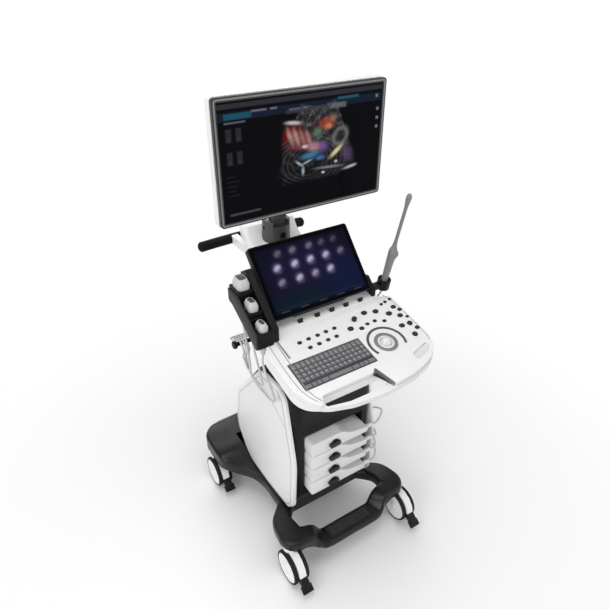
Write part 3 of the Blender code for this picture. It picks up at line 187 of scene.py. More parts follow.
def worked(mesh, steps):
    """The mesh after bmesh steps."""
    work = bmesh.new()
    work.from_mesh(mesh)
    steps(work)
    work.to_mesh(mesh)
    work.free()
    return mesh


def faced(work):
    bmesh.ops.recalc_face_normals(work, faces=work.faces)


def cleaned(work):
    bmesh.ops.remove_doubles(work, verts=work.verts, dist=WELD)
    bmesh.ops.dissolve_degenerate(work, edges=work.edges, dist=WELD)
    faced(work)


def as_mesh(obj):
    """The object as its modifiers leave it, as a mesh in world space. The object is removed."""
    bpy.context.view_layer.update()
    graph = bpy.context.evaluated_depsgraph_get()
    mesh = bpy.data.meshes.new_from_object(obj.evaluated_get(graph))
    mesh.transform(obj.matrix_world)
    bpy.data.objects.remove(obj)
    return worked(mesh, cleaned)


def vectors(*rows):
    return [Vector(row) for row in rows]


def curved(keys, steps):
    """Smooth curve through the keys, each a row of numbers, with so many steps between neighbours."""
    ends = [2 * keys[0] - keys[1], *keys, 2 * keys[-1] - keys[-2]]
    rows = []
    for a, b, c, d in zip(ends, ends[1:], ends[2:], ends[3:]):
        for t in (k / steps for k in range(steps)):
            rows.append(0.5 * (2 * b + (c - a) * t + (2 * a - 5 * b + 4 * c - d) * t**2
                               + (3 * b - a - 3 * c + d) * t**3))
    return rows + [keys[-1]]


def smooth_path(route, spacing):
    """Evenly spaced points on the smooth curve through the route's own points."""
    fine = curved(route, 24)
    length = sum((q - p).length for p, q in zip(fine, fine[1:]))
    step = length / max(2, round(length / spacing))
    points, walked, target = [fine[0]], 0.0, step
    for p, q in zip(fine, fine[1:]):
        span = (q - p).length
        while walked + span > target and target < length - step / 2:
            points.append(p.lerp(q, (target - walked) / span))
            target += step
        walked += span
    return points + [fine[-1]]


def polyline(curve, points, cyclic=False):
    """Adds a line through flat or spatial points to a curve."""
    line = curve.splines.new("POLY")
    line.points.add(len(points) - 1)
    for point, place in zip(line.points, points):
        point.co = (*place, *(0.0,) * (3 - len(place)), 1.0)
    line.use_cyclic_u = cyclic


def tube(points, radius, resolution=2):
    """Round rod that follows the points."""
    curve = bpy.data.curves.new("tube", "CURVE")
    curve.dimensions = "3D"
    curve.bevel_depth = radius
    curve.bevel_resolution = 2 * resolution
    curve.use_fill_caps = True
    polyline(curve, points)
    return as_mesh(linked("tube", curve))


def show(name, mesh, finish, body, replaced=(), angle=35):
    """Puts a finished piece in the scene, riding on its body, in place of its CAD nodes."""
    mesh.transform(at(y=-AHEAD))
    mesh.materials.clear()
    mesh.materials.append(finish)
    mesh.shade_smooth()
    mesh.set_sharp_from_angle(angle=radians(angle))
    piece = placed(name, mesh)
    if body:
        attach(piece, body)
    if replaced:
        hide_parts(*replaced)
    return piece


def new_group(kind, name, inputs, outputs):
    """Node group with its inputs (label, kind, value) and outputs (label, kind), and the nodes for both."""
    group = bpy.data.node_groups.new(name, kind)
    for way, rows in (("INPUT", inputs), ("OUTPUT", outputs)):
        for label, sort, *value in rows:
            socket = group.interface.new_socket(label, in_out=way, socket_type=f"NodeSocket{sort}")
            if value:
                socket.default_value = value[0]
    return group, group.nodes.new("NodeGroupInput").outputs, group.nodes.new("NodeGroupOutput")


def moulded_skin():
    """Moulded surface: fine spark-eroded grain, and faint clouding of the tone and of the gloss."""
    tree, given, result = new_group(
        "ShaderNodeTree", "moulded_skin",
        [("Tone", "Color", (0.5, 0.5, 0.5, 1)), ("Roughness", "Float", 0.5), ("Grain", "Float", 900.0),
         ("Clouding", "Float", 0.04)], [("Tone", "Color"), ("Roughness", "Float"), ("Height", "Float")])
    where = node(tree, "ShaderNodeTexCoord").outputs["Object"]
    fine = node(tree, "ShaderNodeTexNoise", Vector=where, Scale=given["Grain"], Detail=2.0)
    cloud = node(tree, "ShaderNodeTexNoise", Vector=where, Scale=9.0, Detail=3.0).outputs["Fac"]
    swing = node(tree, "ShaderNodeMapRange", Value=cloud, From_Min=0.3, From_Max=0.7, To_Min=-1.0, To_Max=1.0)
    share = maths(tree, "MULTIPLY", swing.outputs["Result"], given["Clouding"])
    level = maths(tree, "ADD", share, 1.0)
    tint = node(tree, "ShaderNodeVectorMath", operation="SCALE", i0=given["Tone"], Scale=level).outputs[0]
    rough = maths(tree, "MULTIPLY_ADD", share, 1.5, given["Roughness"])
    wire(tree, result, Tone=tint, Roughness=rough, Height=fine.outputs["Fac"])
    return tree


MOULDED = moulded_skin()


def plastic(name, tone, roughness, grain=900.0, relief=0.00002, clouding=0.04, gloss=0.5, coat=0.0,
            metallic=0.0):
    """Finish made of the moulded skin, its bumps as high as relief. The tone is a level or a colour."""
    made, tree, shader = principled(name, Coat_Weight=coat, Metallic=metallic, Specular_IOR_Level=gloss)
    colour = (*tone, 1.0) if isinstance(tone, tuple) else (tone, tone, tone, 1.0)
    skin = node(tree, "ShaderNodeGroup", node_tree=MOULDED, Tone=colour, Roughness=roughness, Grain=grain,
                Clouding=clouding).outputs
    bump = node(tree, "ShaderNodeBump", Height=skin["Height"], Distance=relief, Strength=1.0)
    wire(tree, shader, Base_Color=skin["Tone"], Roughness=skin["Roughness"], Normal=bump.outputs["Normal"])
    return made


CORD_RADIUS = 0.0036
CORD_PITCH = 0.0105
CORD_BEND = 0.034
CORD_STEP = 0.012  # length of one straight stretch of a cord's mesh
BOOT_END = 0.150
BOOT_RISE = 0.0105
RECESS_LOW = 0.256
PLUG_PITCH = 0.063
PLUG_FRONT = -0.180
BOOT_Y = PLUG_FRONT + 0.012
HOOK_AT = (0.135, 0.771)
HOOK_REACH = 0.222
HOOK_RADIUS = 0.008
HOOK_CLEAR = 0.0046
CUP_X = -0.235
CUPS = ((-0.088, 0.957), (-0.028, 0.990), (0.032, 1.027))
PROBE_DROP = 0.078
WAND_FOOT = -0.018
WAND = at(0.250, -0.052, 0.952) @ turn(13.6, "X")


def plug_low(index):
    """Height of a plug's underside."""
    return RECESS_LOW + 0.003 + index * PLUG_PITCH


def plug_exit(index):
    """Where a cord leaves the boot of a plug."""
    return Vector((BOOT_END + GAP, BOOT_Y, plug_low(index) + BOOT_RISE))


def over_hook(x, reverse=False):
    """Points that lay a cord over a hook at x, from the front to the back, or from the back if reversed."""
    y, z = HOOK_AT
    low = z + HOOK_RADIUS + CORD_RADIUS + HOOK_CLEAR - CORD_BEND
    angles = [radians(degrees) for degrees in (165, 90, 15)]
    points = [(x, y + CORD_BEND * cos(a), low + CORD_BEND * sin(a)) for a in angles]
    return points[::-1] if reverse else points


def rack_route(nest):
    """Cord from a plug up over the right hook, behind the column, over the left hook and up to a probe."""
    start = plug_exit(2 - nest)
    y, z = CUPS[nest]
    out = 0.188 + CORD_PITCH * nest
    back = 0.202 + CORD_PITCH * nest
    foot = 0.640 + 0.034 * nest
    front = HOOK_AT[0] - 0.026
    return vectors(
        start, start + Vector((0.024, 0, 0)), (out - 0.002, -0.134, start.z + 0.004),
        (out + 0.004, -0.076, start.z + 0.050), (out + 0.004, -0.040, 0.590), (out + 0.004, 0.000, 0.700),
        (out + 0.002, 0.052, 0.744), *over_hook(out), (out - 0.003, back - 0.012, 0.744),
        (out - 0.030, back - 0.001, 0.739), (0.0, back + 0.006, 0.730), (0.030 - out, back - 0.001, 0.739),
        (0.003 - out, back - 0.012, 0.744), *over_hook(-out, reverse=True), (-out - 0.001, front, 0.730),
        (-out - 0.002, front - 0.012, foot + 0.018), (-out - 0.004, (front + y) / 2, foot),
        (-out - 0.010, y + 0.006, foot + 0.030), (CUP_X, y, z - PROBE_DROP - 0.050),
        (CUP_X, y, z - PROBE_DROP - 2 * GAP))


def wand_route():
    """Cord from the top plug down in a loop beside the column and up to the endocavity probe."""
    start = plug_exit(3)
    end = WAND @ Vector((0, 0, WAND_FOOT - 2 * GAP))
    return vectors(
        start, start + Vector((0.024, 0, 0)), (0.226, -0.132, start.z), (0.243, -0.072, start.z - 0.040),
        (0.246, -0.020, 0.370), (0.248, 0.024, 0.420), (0.249, 0.026, 0.560), (0.250, 0.010, 0.740),
        (0.2505, -0.020, 0.870), end + (end - WAND @ Vector((0, 0, 0.012))) * 0.6, end)


jacket = plastic("cord_jacket", (0.60, 0.595, 0.58), 0.55, grain=1600, gloss=0.35)
for label, route in (("linear", rack_route(0)), ("phased", rack_route(1)), ("convex", rack_route(2)),
                     ("endocavity", wand_route())):
    path = smooth_path(route, CORD_STEP)
    cord = show(f"{label}_cord", tube(path, CORD_RADIUS), jacket, None, [f"cord_{label}"], 60)
    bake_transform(cord)
    path = [p + Vector((0, -AHEAD, 0)) for p in path]

# ---------------------------------------------------------------- base
# One painted casting: a loop round the foot opening, a waist under the column, wings over the rear casters.
# It is cast, fettled and finished in a fine black texture paint. A rubber tread lies on the loop's bar.

TOWER_HALF = 0.163
TOWER_FRONT = -0.140
TOWER_BACK = 0.262
TOWER_TOP = 0.700
TOWER_CORNER = 0.035
BASE_LOW = 0.092
BASE_TOP = 0.142
WAIST_HALF = 0.182
LOOP_HALF = 0.266
LOOP_FRONT = -0.288
LOOP_BAR = 0.060
WING_HALF = 0.297
WING_BACK = 0.420
WING_TOP = 0.196
TREAD_HALF = 0.096
TREAD_THICK = 0.003
STUD_PITCH = (0.0106, 0.0072)
WHEEL_RADIUS = 0.0625
TRAIL = 0.025
STEM_RADIUS = 0.010
STEM_TOP = 0.158
CASTER_TOP = 0.137
FRONT_CASTER = (0.244, -0.235)
REAR_CASTER = (0.279, 0.299)
GUARD_TOP = 2 * WHEEL_RADIUS + 0.005
FACETS = 20
FINE = 3  # steps of every arc, for each step that the sizes below ask for
FLAT = Matrix()
SIDEWAYS = Matrix(((0, 0, 1, 0), (1, 0, 0, 0), (0, 1, 0, 0), (0, 0, 0, 1)))
FACING = Matrix(((1, 0, 0, 0), (0, 0, -1, 0), (0, 1, 0, 0), (0, 0, 0, 1)))


def rounded(corners, steps=4):
    """Closed outline of the polygon whose corners are (x, y, radius), each corner an arc."""
    points = []
    for i, (x, y, radius) in enumerate(corners):
        here = Vector((x, y))
        back = Vector(corners[i - 1][:2]) - here
        ahead = Vector(corners[(i + 1) % len(corners)][:2]) - here
        half = back.angle(ahead) / 2
        reach = min(radius / tan(half), 0.49 * min(back.length, ahead.length))
        if radius == 0 or half > radians(89):
            points.append(here)
            continue
        back.normalize()
        ahead.normalize()
        arc = reach * tan(half)
        centre = here + (back + ahead).normalized() * arc / sin(half)
        first = here + back * reach - centre
        sweep = first.angle_signed(here + ahead * reach - centre)
        for k in range(FINE * steps + 1):
            angle = atan2(first.y, first.x) - sweep * k / (FINE * steps)
            points.append(centre + arc * Vector((cos(angle), sin(angle))))
    return points


def box_outline(width, depth, radius, middle=(0.0, 0.0), steps=4):
    x, y = width / 2, depth / 2
    corners = [(-x, -y), (x, -y), (x, y), (-x, y)]
    return rounded([(middle[0] + a, middle[1] + b, radius) for a, b in corners], steps)


def shrunk(outline, amount):
    """The outline moved inwards by amount, each side about its own normal."""
    count = len(outline)
    side = 1 if sum(outline[i - 1].cross(outline[i]) for i in range(count)) > 0 else -1
    moved = []
    for i in range(count):
        along = (outline[(i + 1) % count] - outline[i - 1]).normalized()
        moved.append(outline[i] + Vector((-along.y, along.x)) * amount * side)
    return moved


def loft(sections, matrix=FLAT):
    """Closed skin over sections of as many points each, given as lists of (x, y, z)."""

    def skin(work):
        rings = [[work.verts.new(matrix @ Vector(point)) for point in section] for section in sections]
        for low, high in zip(rings, rings[1:]):
            for i in range(len(low)):
                work.faces.new((low[i - 1], low[i], high[i], high[i - 1]))
        work.faces.new(rings[0])
        work.faces.new(rings[-1])
        faced(work)

    return worked(bpy.data.meshes.new("loft"), skin)


def stacked(layers, matrix=FLAT):
    """Loft over flat outlines, each given as (outline, height)."""
    return loft([[(p.x, p.y, height) for p in outline] for outline, height in layers], matrix)


def boxed(rows, middle=(0.0, 0.0), steps=1):
    """Loft over rounded boxes, each given as width, depth, corner radius and height."""
    return stacked([(box_outline(*size, middle, steps), z) for *size, z in rows])


def modify(obj, kind, **settings):
    """Gives the object a modifier with these settings."""
    modifier = obj.modifiers.new(kind.lower(), kind)
    for key, value in settings.items():
        setattr(modifier, key, value)
    return modifier


def slab(outlines, low, high, matrix=FLAT, bevel=0.0, segments=2):
    """Solid between low and high along the matrix's third axis. Outlines after the first are holes."""
    curve = bpy.data.curves.new("slab", "CURVE")
    curve.dimensions = "2D"
    curve.fill_mode = "BOTH"
    curve.extrude = (high - low) / 2
    for outline in outlines:
        polyline(curve, outline, cyclic=True)
    made = linked("slab", curve, matrix @ at(z=(low + high) / 2))
    if bevel:
        modify(made, "WELD", merge_threshold=1e-5)
        modify(made, "BEVEL", width=bevel, segments=FINE * segments, limit_method="ANGLE",
               angle_limit=radians(50))
    return as_mesh(made)


def turned(profile, matrix=FLAT, facets=FACETS):
    """Solid of revolution about the matrix's third axis: (radius, height) points, top to bottom."""
    mesh = bpy.data.meshes.new("profile")
    edges = [(i, i + 1) for i in range(len(profile) - 1)]
    mesh.from_pydata([(radius, 0.0, height) for radius, height in profile], edges, [])
    made = linked("turned", mesh, matrix)
    steps = FINE * facets
    modify(made, "SCREW", axis="Z", steps=steps, render_steps=steps, use_merge_vertices=True,
           merge_threshold=1e-5)
    return as_mesh(made)


def rod(radius, low, high, matrix=FLAT, facets=FACETS, edge=0.0):
    """Cylinder along the matrix's third axis, its ends chamfered by edge."""
    if not edge:
        return turned([(0, high), (radius, high), (radius, low), (0, low)], matrix, facets)
    top = [(0, high), (radius - edge, high), (radius, high - edge)]
    return turned(top + [(radius, low + edge), (radius - edge, low), (0, low)], matrix, facets)


def crossbar(radius, half, place, facets):
    """Round bar across the machine, so long to either side, about the axis at (y, z)."""
    return rod(radius, -half, half, at(0, *place) @ SIDEWAYS, facets)


def block(low, high, bevel=0.0, segments=2, matrix=FLAT):
    """Box from corner to corner."""
    size = [b - a for a, b in zip(low, high)]
    middle = [(a + b) / 2 for a, b in zip(low, high)]

    def box(work):
        bmesh.ops.create_cube(work, size=1.0, matrix=matrix @ at(*middle) @ Matrix.Diagonal((*size, 1)))
        if bevel:
            bmesh.ops.bevel(work, geom=work.edges, offset=bevel, segments=FINE * segments, affect="EDGES",
                            profile=0.5)

    return worked(bpy.data.meshes.new("block"), box)


def boolean(mesh, others, operation):
    """The mesh joined with, cut by or cropped to each of the others in turn."""
    target = linked("target", mesh)
    tools = [linked("tool", other) for other in others]
    for tool in tools:
        modify(target, "BOOLEAN", operation=operation, solver="MANIFOLD", object=tool)
    result = as_mesh(target)
    for tool in tools:
        bpy.data.objects.remove(tool)
    return result


def cut(mesh, *others):
    return boolean(mesh, others, "DIFFERENCE")


def join(mesh, *others):
    return boolean(mesh, others, "UNION")


def merged(meshes):
    """One mesh of several closed bodies that don't touch each other."""
    return worked(bpy.data.meshes.new("merged"), lambda work: [work.from_mesh(mesh) for mesh in meshes])


def spline(keys, steps):
    """Rows of numbers on the smooth curve through the keys."""
    return np.array(curved(np.array(keys, float), steps))


def swept(stations, radius, steps=2):
    """Bar along a plan path. Each station is x, y, width, underside and top."""
    sections = []
    for i, (x, y, width, low, high) in enumerate(stations):
        ahead, behind = stations[min(i + 1, len(stations) - 1)], stations[max(i - 1, 0)]
        along = Vector((ahead[0] - behind[0], ahead[1] - behind[1])).normalized()
        ring = box_outline(width, high - low, radius, (0.0, (low + high) / 2), steps)
        sections.append([(x - along.y * p.x, y + along.x * p.x, p.y) for p in ring])
    return loft(sections)


def foot_loop():
    """Bar round the foot opening: it dips at the tread and rises in shoulders over the front casters."""
    y, bar = FRONT_CASTER[1], LOOP_FRONT + LOOP_BAR / 2
    dip, under = BASE_TOP - 0.024, BASE_LOW - 0.006
    high, arch = BASE_TOP + 0.026, CASTER_TOP - 0.017
    half = [
        (0.0, bar, LOOP_BAR + 0.016, under, dip),
        (TREAD_HALF + 0.004, bar, LOOP_BAR + 0.016, under, dip),
        (TREAD_HALF + 0.026, bar + 0.004, LOOP_BAR + 0.012, under + 0.006, dip + 0.006),
        (TREAD_HALF + 0.052, bar + 0.014, LOOP_BAR + 0.004, arch - 0.022, high - 0.008),
        (TREAD_HALF + 0.090, bar + 0.020, LOOP_BAR + 0.010, arch, high),
        (LOOP_HALF - 0.046, bar + 0.032, LOOP_BAR + 0.028, arch, high + 0.002),
        (LOOP_HALF - 0.042, y + 0.042, LOOP_BAR + 0.024, arch, high + 0.002),
        (LOOP_HALF - 0.048, y + 0.090, LOOP_BAR + 0.014, arch - 0.010, high - 0.006),
        (WAIST_HALF + 0.010, TOWER_FRONT + 0.034, LOOP_BAR + 0.002, BASE_LOW + 0.008, BASE_TOP + 0.008),
        (WAIST_HALF - 0.030, TOWER_FRONT + 0.075, LOOP_BAR, BASE_LOW + 0.001, BASE_TOP - 0.001)]
    mirror = [(-key[0], *key[1:]) for key in reversed(half[1:])]
    return swept(spline(mirror + half, 6), 0.014, 2)


def base_body():
    """Casting under the tower, which spreads into a wing over each rear caster."""
    arch, wing = CASTER_TOP - 0.012, WING_TOP
    keys = [
        (TOWER_FRONT + 0.046, WAIST_HALF, BASE_LOW, BASE_TOP),
        (TOWER_FRONT + 0.120, WAIST_HALF, BASE_LOW, BASE_TOP),
        (TOWER_FRONT + 0.200, WAIST_HALF + 0.001, BASE_LOW, BASE_TOP),
        (0.115, WAIST_HALF + 0.022, BASE_LOW + 0.012, BASE_TOP + 0.006),
        (0.160, WAIST_HALF + 0.062, arch - 0.014, BASE_TOP + 0.022),
        (0.200, WING_HALF - 0.012, arch, wing - 0.010),
        (0.240, WING_HALF, arch, wing),
        (WING_BACK - 0.110, WING_HALF, arch, wing),
        (WING_BACK - 0.060, WING_HALF - 0.006, arch, wing),
        (WING_BACK - 0.022, WING_HALF - 0.036, arch, wing - 0.004),
        (WING_BACK, WING_HALF - 0.085, arch + 0.004, wing - 0.014)]
    sections = []
    for y, half, low, high in spline(keys, 4):
        inner, top = 0.150, max(high, BASE_TOP) + 0.001
        left = [(0.03 - inner, top, 0), (-inner, high, 0), (-half, high, 0.012), (-half, low, 0.012),
                (-inner, low, 0), (0.03 - inner, BASE_LOW, 0)]
        ring = rounded([(-x, z, radius) for x, z, radius in reversed(left)] + left, 2)
        sections.append([(p.x, y, p.y) for p in ring])
    return loft(sections)


def base_frame():
    """Casting: a loop in front for the foot, a waist under the tower, and wings over the rear casters."""
    seat = block((-WAIST_HALF - 0.001, TOWER_FRONT - 0.012, BASE_TOP),
                 (WAIST_HALF + 0.001, 0.298, WING_TOP + 0.05))
    mesh = cut(join(base_body(), foot_loop()), seat)
    low, stem = min(BASE_LOW - 0.020, GUARD_TOP - 0.046), STEM_RADIUS + RUN
    well = [(0, STEM_TOP + 0.001), (stem, STEM_TOP + 0.001), (stem, CASTER_TOP + GAP),
            (0.025, CASTER_TOP + GAP), (0.042, GUARD_TOP + 0.003), (0.067, GUARD_TOP - 0.007),
            (0.082, GUARD_TOP - 0.021), (0.092, GUARD_TOP - 0.036), (0.098, low), (0, low)]
    for x, y in (FRONT_CASTER, REAR_CASTER):
        for side in (-1, 1):
            mesh = cut(mesh, turned(well, at(side * x, y), 24))
    return mesh


def softened(mesh, width):
    """The mesh with its sharp edges rounded, as paint or mould radii round them."""
    made = linked("softened", mesh)
    modify(made, "BEVEL", width=width, segments=2, limit_method="ANGLE", angle_limit=radians(38),
           miter_outer="MITER_ARC")
    return as_mesh(made)


def rows_of_copies():
    """Geometry group: rows and columns of copies of an object."""
    tree, given, result = new_group(
        "GeometryNodeTree", "rows_of_copies",
        [("Mesh", "Geometry"), ("Copy", "Object"), ("Columns", "Int"), ("Rows", "Int"),
         ("Pitch Across", "Float"), ("Pitch Along", "Float"), ("Finish", "Material")], [("Mesh", "Geometry")])
    width = maths(tree, "MULTIPLY", maths(tree, "SUBTRACT", given["Columns"], 1.0), given["Pitch Across"])
    depth = maths(tree, "MULTIPLY", maths(tree, "SUBTRACT", given["Rows"], 1.0), given["Pitch Along"])
    field = node(tree, "GeometryNodeMeshGrid", Size_X=width, Size_Y=depth, Vertices_X=given["Columns"],
                 Vertices_Y=given["Rows"]).outputs["Mesh"]
    item = node(tree, "GeometryNodeObjectInfo", Object=given["Copy"]).outputs["Geometry"]
    copies = node(tree, "GeometryNodeInstanceOnPoints", Points=field, Instance=item).outputs[0]
    solid = node(tree, "GeometryNodeRealizeInstances", Geometry=copies).outputs[0]
    painted = node(tree, "GeometryNodeSetMaterial", Geometry=solid, Material=given["Finish"]).outputs[0]
    wire(tree, result, i0=painted)
    return tree


ROWS_OF_COPIES = rows_of_copies()


def studded(item, counts, pitches, place, finish):
    """Copies of a small mesh in columns and rows, made by the group above and baked into one mesh."""
    copy = linked("copy", item)
    holder = linked("rows", bpy.data.meshes.new("rows"))
    maker = modify(holder, "NODES", node_group=ROWS_OF_COPIES)
    values = {"Copy": copy, "Columns": counts[0], "Rows": counts[1], "Pitch Across": pitches[0],
              "Pitch Along": pitches[1], "Finish": finish}
    for socket in ROWS_OF_COPIES.interface.items_tree:
        if socket.name in values:
            maker[socket.identifier] = values[socket.name]
    holder.update_tag()
    mesh = as_mesh(holder)
    bpy.data.objects.remove(copy)
    mesh.transform(place)
    return mesh


texture_paint = plastic("texture_paint", (0.007, 0.0072, 0.0085), 0.34, grain=1300, relief=0.00006,
                        clouding=0.10, gloss=0.35)
tread_rubber = plastic("tread_rubber", (0.020, 0.020, 0.021), 0.75, grain=1800, relief=0.00004, gloss=0.25)
# The studs are the mat's rubber made lighter: a painted highlight on their tops, so that the relief shows.
stud_painted_highlight = plastic("stud_painted_highlight", (0.078, 0.077, 0.073), 0.70, grain=1800, relief=0.00004, gloss=0.25)
show("base_casting", base_frame(), texture_paint, "base", ["base_frame"], 30)

tread_low = BASE_TOP - 0.024 + GAP
tread_middle = (0.0, LOOP_FRONT + LOOP_BAR / 2 + 0.001)
tread_outline = box_outline(2 * TREAD_HALF - 0.002, LOOP_BAR - 0.010, 0.008, tread_middle, 2)
tread = slab([tread_outline], tread_low, tread_low + TREAD_THICK, bevel=0.0008, segments=1)
lozenge = vectors((-0.004, 0.0), (0.0, -0.0024), (0.004, 0.0), (0.0, 0.0024))
stud = stacked([(lozenge, -0.0008), (lozenge, 0.0005), (shrunk(lozenge, 0.0005), 0.0011)])
stud_counts = int((2 * TREAD_HALF - 0.012) / STUD_PITCH[0]), int((LOOP_BAR - 0.018) / STUD_PITCH[1])
studs = studded(stud, stud_counts, STUD_PITCH, at(*tread_middle, tread_low + TREAD_THICK), stud_painted_highlight)
show("tread_mat", tread, tread_rubber, "base", ["foot_tread"])
show("tread_studs", studs, stud_painted_highlight, "base")

# ---------------------------------------------------------------- casters
# Four twin-wheel swivel casters. Soft black tyres are moulded round white nylon discs with hub caps.
# A white mudguard runs between the wheels, and a black foot lever brakes them.

CASTER_HALF = 0.0305
AXLE_RADIUS = 0.006
GUARD_HALF = 0.013
TYRE_INSIDE = GUARD_HALF + 0.0015
AXLE_AT = (-TRAIL, WHEEL_RADIUS)
PEDAL_PIVOT = (-TRAIL - WHEEL_RADIUS - 0.003, 0.0545)
PEDAL_HUB = 0.0144
PEDAL_HALF = 0.0145
PAD_SLOPE = 38
RIB_PLACES = (-0.011, -0.006, -0.001, 0.004)
HANDS = (("left", -1), ("right", 1))


def caster_body():
    """Stem, bearing collar and the mudguard that runs between the twin wheels."""
    outer = WHEEL_RADIUS + 0.005
    inner = outer - 0.013
    axle_y, web_low = -TRAIL, WHEEL_RADIUS - 0.013
    arc = [radians(a) for a in range(6, 199, 24)]
    rim = [Vector((axle_y - outer * cos(a), WHEEL_RADIUS + outer * sin(a))) for a in arc]
    back = [Vector((axle_y - inner * cos(a), WHEEL_RADIUS + inner * sin(a))) for a in reversed(arc)]
    guard = slab([rim + back], -GUARD_HALF, GUARD_HALF, SIDEWAYS)
    outline = rounded([
        (axle_y - 0.013, web_low, 0.012), (axle_y + 0.013, web_low, 0.012),
        (0.026, WHEEL_RADIUS + outer * 0.84, 0.004), (-0.014, WHEEL_RADIUS + outer * 0.93, 0.004)], 3)
    web = slab([outline], -GUARD_HALF + 0.0045, GUARD_HALF - 0.0045, SIDEWAYS)
    top = CASTER_TOP
    stem = turned([(0, STEM_TOP), (STEM_RADIUS - 0.001, STEM_TOP), (STEM_RADIUS, STEM_TOP - 0.001),
                   (STEM_RADIUS, top), (0.020, top), (0.022, top - 0.002), (0.022, top - 0.012),
                   (0, top - 0.012)], facets=12)
    return cut(join(guard, web, stem), crossbar(AXLE_RADIUS + RUN, 0.05, AXLE_AT, 12))


def brake_pedal():
    """Foot lever in front of the wheels: a broad arm from its hub to a ribbed pad."""
    y, z = PEDAL_PIVOT
    outline = vectors((y - 0.001, z + 0.011), (y - 0.016, z + 0.004), (y - 0.032, z - 0.011),
                      (y - 0.030, z - 0.025), (y - 0.012, z - 0.020), (y - 0.001, z - 0.012))
    arm = slab([outline], -PEDAL_HALF, PEDAL_HALF, SIDEWAYS, bevel=0.002, segments=1)
    hub = crossbar(PEDAL_HUB, GUARD_HALF, PEDAL_PIVOT, 16)
    slope = at(0, y - 0.025, z - 0.015) @ turn(PAD_SLOPE, "X")
    pad = block((-0.0205, -0.015, -0.0065), (0.0205, 0.011, 0.0045), 0.002, 1, slope)
    ribs = [block((-0.017, low, 0.003), (0.017, low + 0.0022, 0.0056), matrix=slope) for low in RIB_PLACES]
    return join(arm, hub, pad, *ribs)


def wheel_pair(section):
    """The same part of the left and of the right wheel, from the left one's section."""
    hub = at(0, *AXLE_AT) @ SIDEWAYS
    mirror = [(radius, -height) for radius, height in reversed(section)]
    return [turned(section, hub, 24), turned(mirror, hub, 24)]


def tyres():
    """Pair of tyres, open where the discs sit."""
    mid, inner = TYRE_INSIDE, WHEEL_RADIUS - 0.008
    out, r = CASTER_HALF, WHEEL_RADIUS
    return merged(wheel_pair([
        (inner, out - 0.003), (inner + 0.003, out - 0.0008), (r - 0.006, out), (r - 0.0024, out - 0.0014),
        (r - 0.0005, out - 0.0045), (r, out - 0.0075), (r, mid + 0.0045), (r - 0.001, mid + 0.0015),
        (r - 0.0035, mid), (inner, mid), (inner, out - 0.003)]))


def wheel_discs():
    """White discs of both wheels: a dished face with a raised rim and a hub cap, on the steel axle."""
    mid, rim, out = TYRE_INSIDE, WHEEL_RADIUS - 0.0078, CASTER_HALF
    pair = wheel_pair([
        (0, out + 0.0008), (0.010, out + 0.0008), (0.012, out - 0.0004), (0.0126, out - 0.0034),
        (0.017, out - 0.004), (rim - 0.012, out - 0.003), (rim - 0.006, out - 0.0012),
        (rim - 0.0025, out - 0.0006), (rim, out - 0.0022), (rim, mid), (0, mid)])
    return merged([*pair, crossbar(AXLE_RADIUS, mid + 0.001, AXLE_AT, 8)])


white_nylon = plastic("white_nylon", (0.88, 0.88, 0.875), 0.38, grain=1100)
tyre_rubber = plastic("tyre_rubber", (0.010, 0.010, 0.011), 0.66, grain=1500, relief=0.00004, gloss=0.25)
black_lever = plastic("black_lever", (0.006, 0.006, 0.007), 0.42, gloss=0.25)
for end, (x, y) in (("front", FRONT_CASTER), ("rear", REAR_CASTER)):
    for hand, side in HANDS:
        corner = f"{end}_{hand}"
        for name, mesh, finish, body, replaced, slot in (
                ("mudguard", caster_body(), white_nylon, "caster", ["caster_body"], "white_plastic"),
                ("tyres", tyres(), tyre_rubber, "wheels", ["caster_wheels"], "tyre"),
                ("wheel_discs", wheel_discs(), white_nylon, "wheels", [], "white_plastic"),
                ("brake_lever", brake_pedal(), black_lever, "pedal", ["brake_pedal"], "black_plastic")):
            mesh.transform(at(side * x, y))
            nodes = [f"{part}_{corner}" for part in replaced]
            show(f"{name}_{corner}", mesh, finish, f"{body}_{corner}", nodes)

# ---------------------------------------------------------------- column
# A black moulded housing stands on the casting. Two white leaf-shaped covers clip to its flanks.
# The rear service cover is pale grey, with louvres for the fans and the mains inlet near its foot.

PANEL_THICK = 0.014
RECESS_HALF = 0.124
PLUG_HEIGHT = 0.0585
PLUG_COUNT = 4
RECESS_DEPTH = 0.045
SHROUD_HALF = 0.112
SHROUD_FRONT = -0.086
SHROUD_BACK = 0.048
SHROUD_LOW = 0.430
FLANK_SEAM = ((0.1187, 0.629), (0.0513, 0.630), (-0.0018, 0.621), (-0.0424, 0.604), (-0.076, 0.584),
              (-0.110, 0.560))
SEAM_LOW = TOWER_HALF + GAP + PANEL_THICK - 0.003
LOUVRE_X, LOUVRE_HEIGHTS = 0.072, (("upper", 0.560), ("lower", 0.420))
LOUVRE_COUNTS, LOUVRE_PITCH = (1, 9), (0.01, 0.0086)
SCREW_X, SCREW_HEIGHTS = 0.130, (0.250, 0.370, 0.490, 0.600)
INLET_AT = (0.085, 0.253)
INLET_PINS = ((-0.007, -0.002), (0.0, 0.004), (0.007, -0.002))


def shroud_outline(inset):
    width = 2 * (SHROUD_HALF - inset)
    depth = SHROUD_BACK - SHROUD_FRONT - 2 * inset
    return box_outline(width, depth, 0.015, (0.0, (SHROUD_FRONT + SHROUD_BACK) / 2), 3)


def tower_side(extra=0.0):
    """Side view of the tower, as (y, z) points, moved outwards by extra."""
    low, high = BASE_TOP + GAP, TOWER_TOP
    outline = rounded([
        (TOWER_FRONT + 0.045, low, 0), (TOWER_BACK, low, 0), (TOWER_BACK + 0.006, 0.330, 0.10),
        (TOWER_BACK - 0.040, 0.500, 0.10), (SHROUD_BACK + 0.020, high, 0.02), (TOWER_FRONT, high, 0.02),
        (TOWER_FRONT, 0.225, 0.06)], 3)
    return shrunk(outline, -extra) if extra else outline


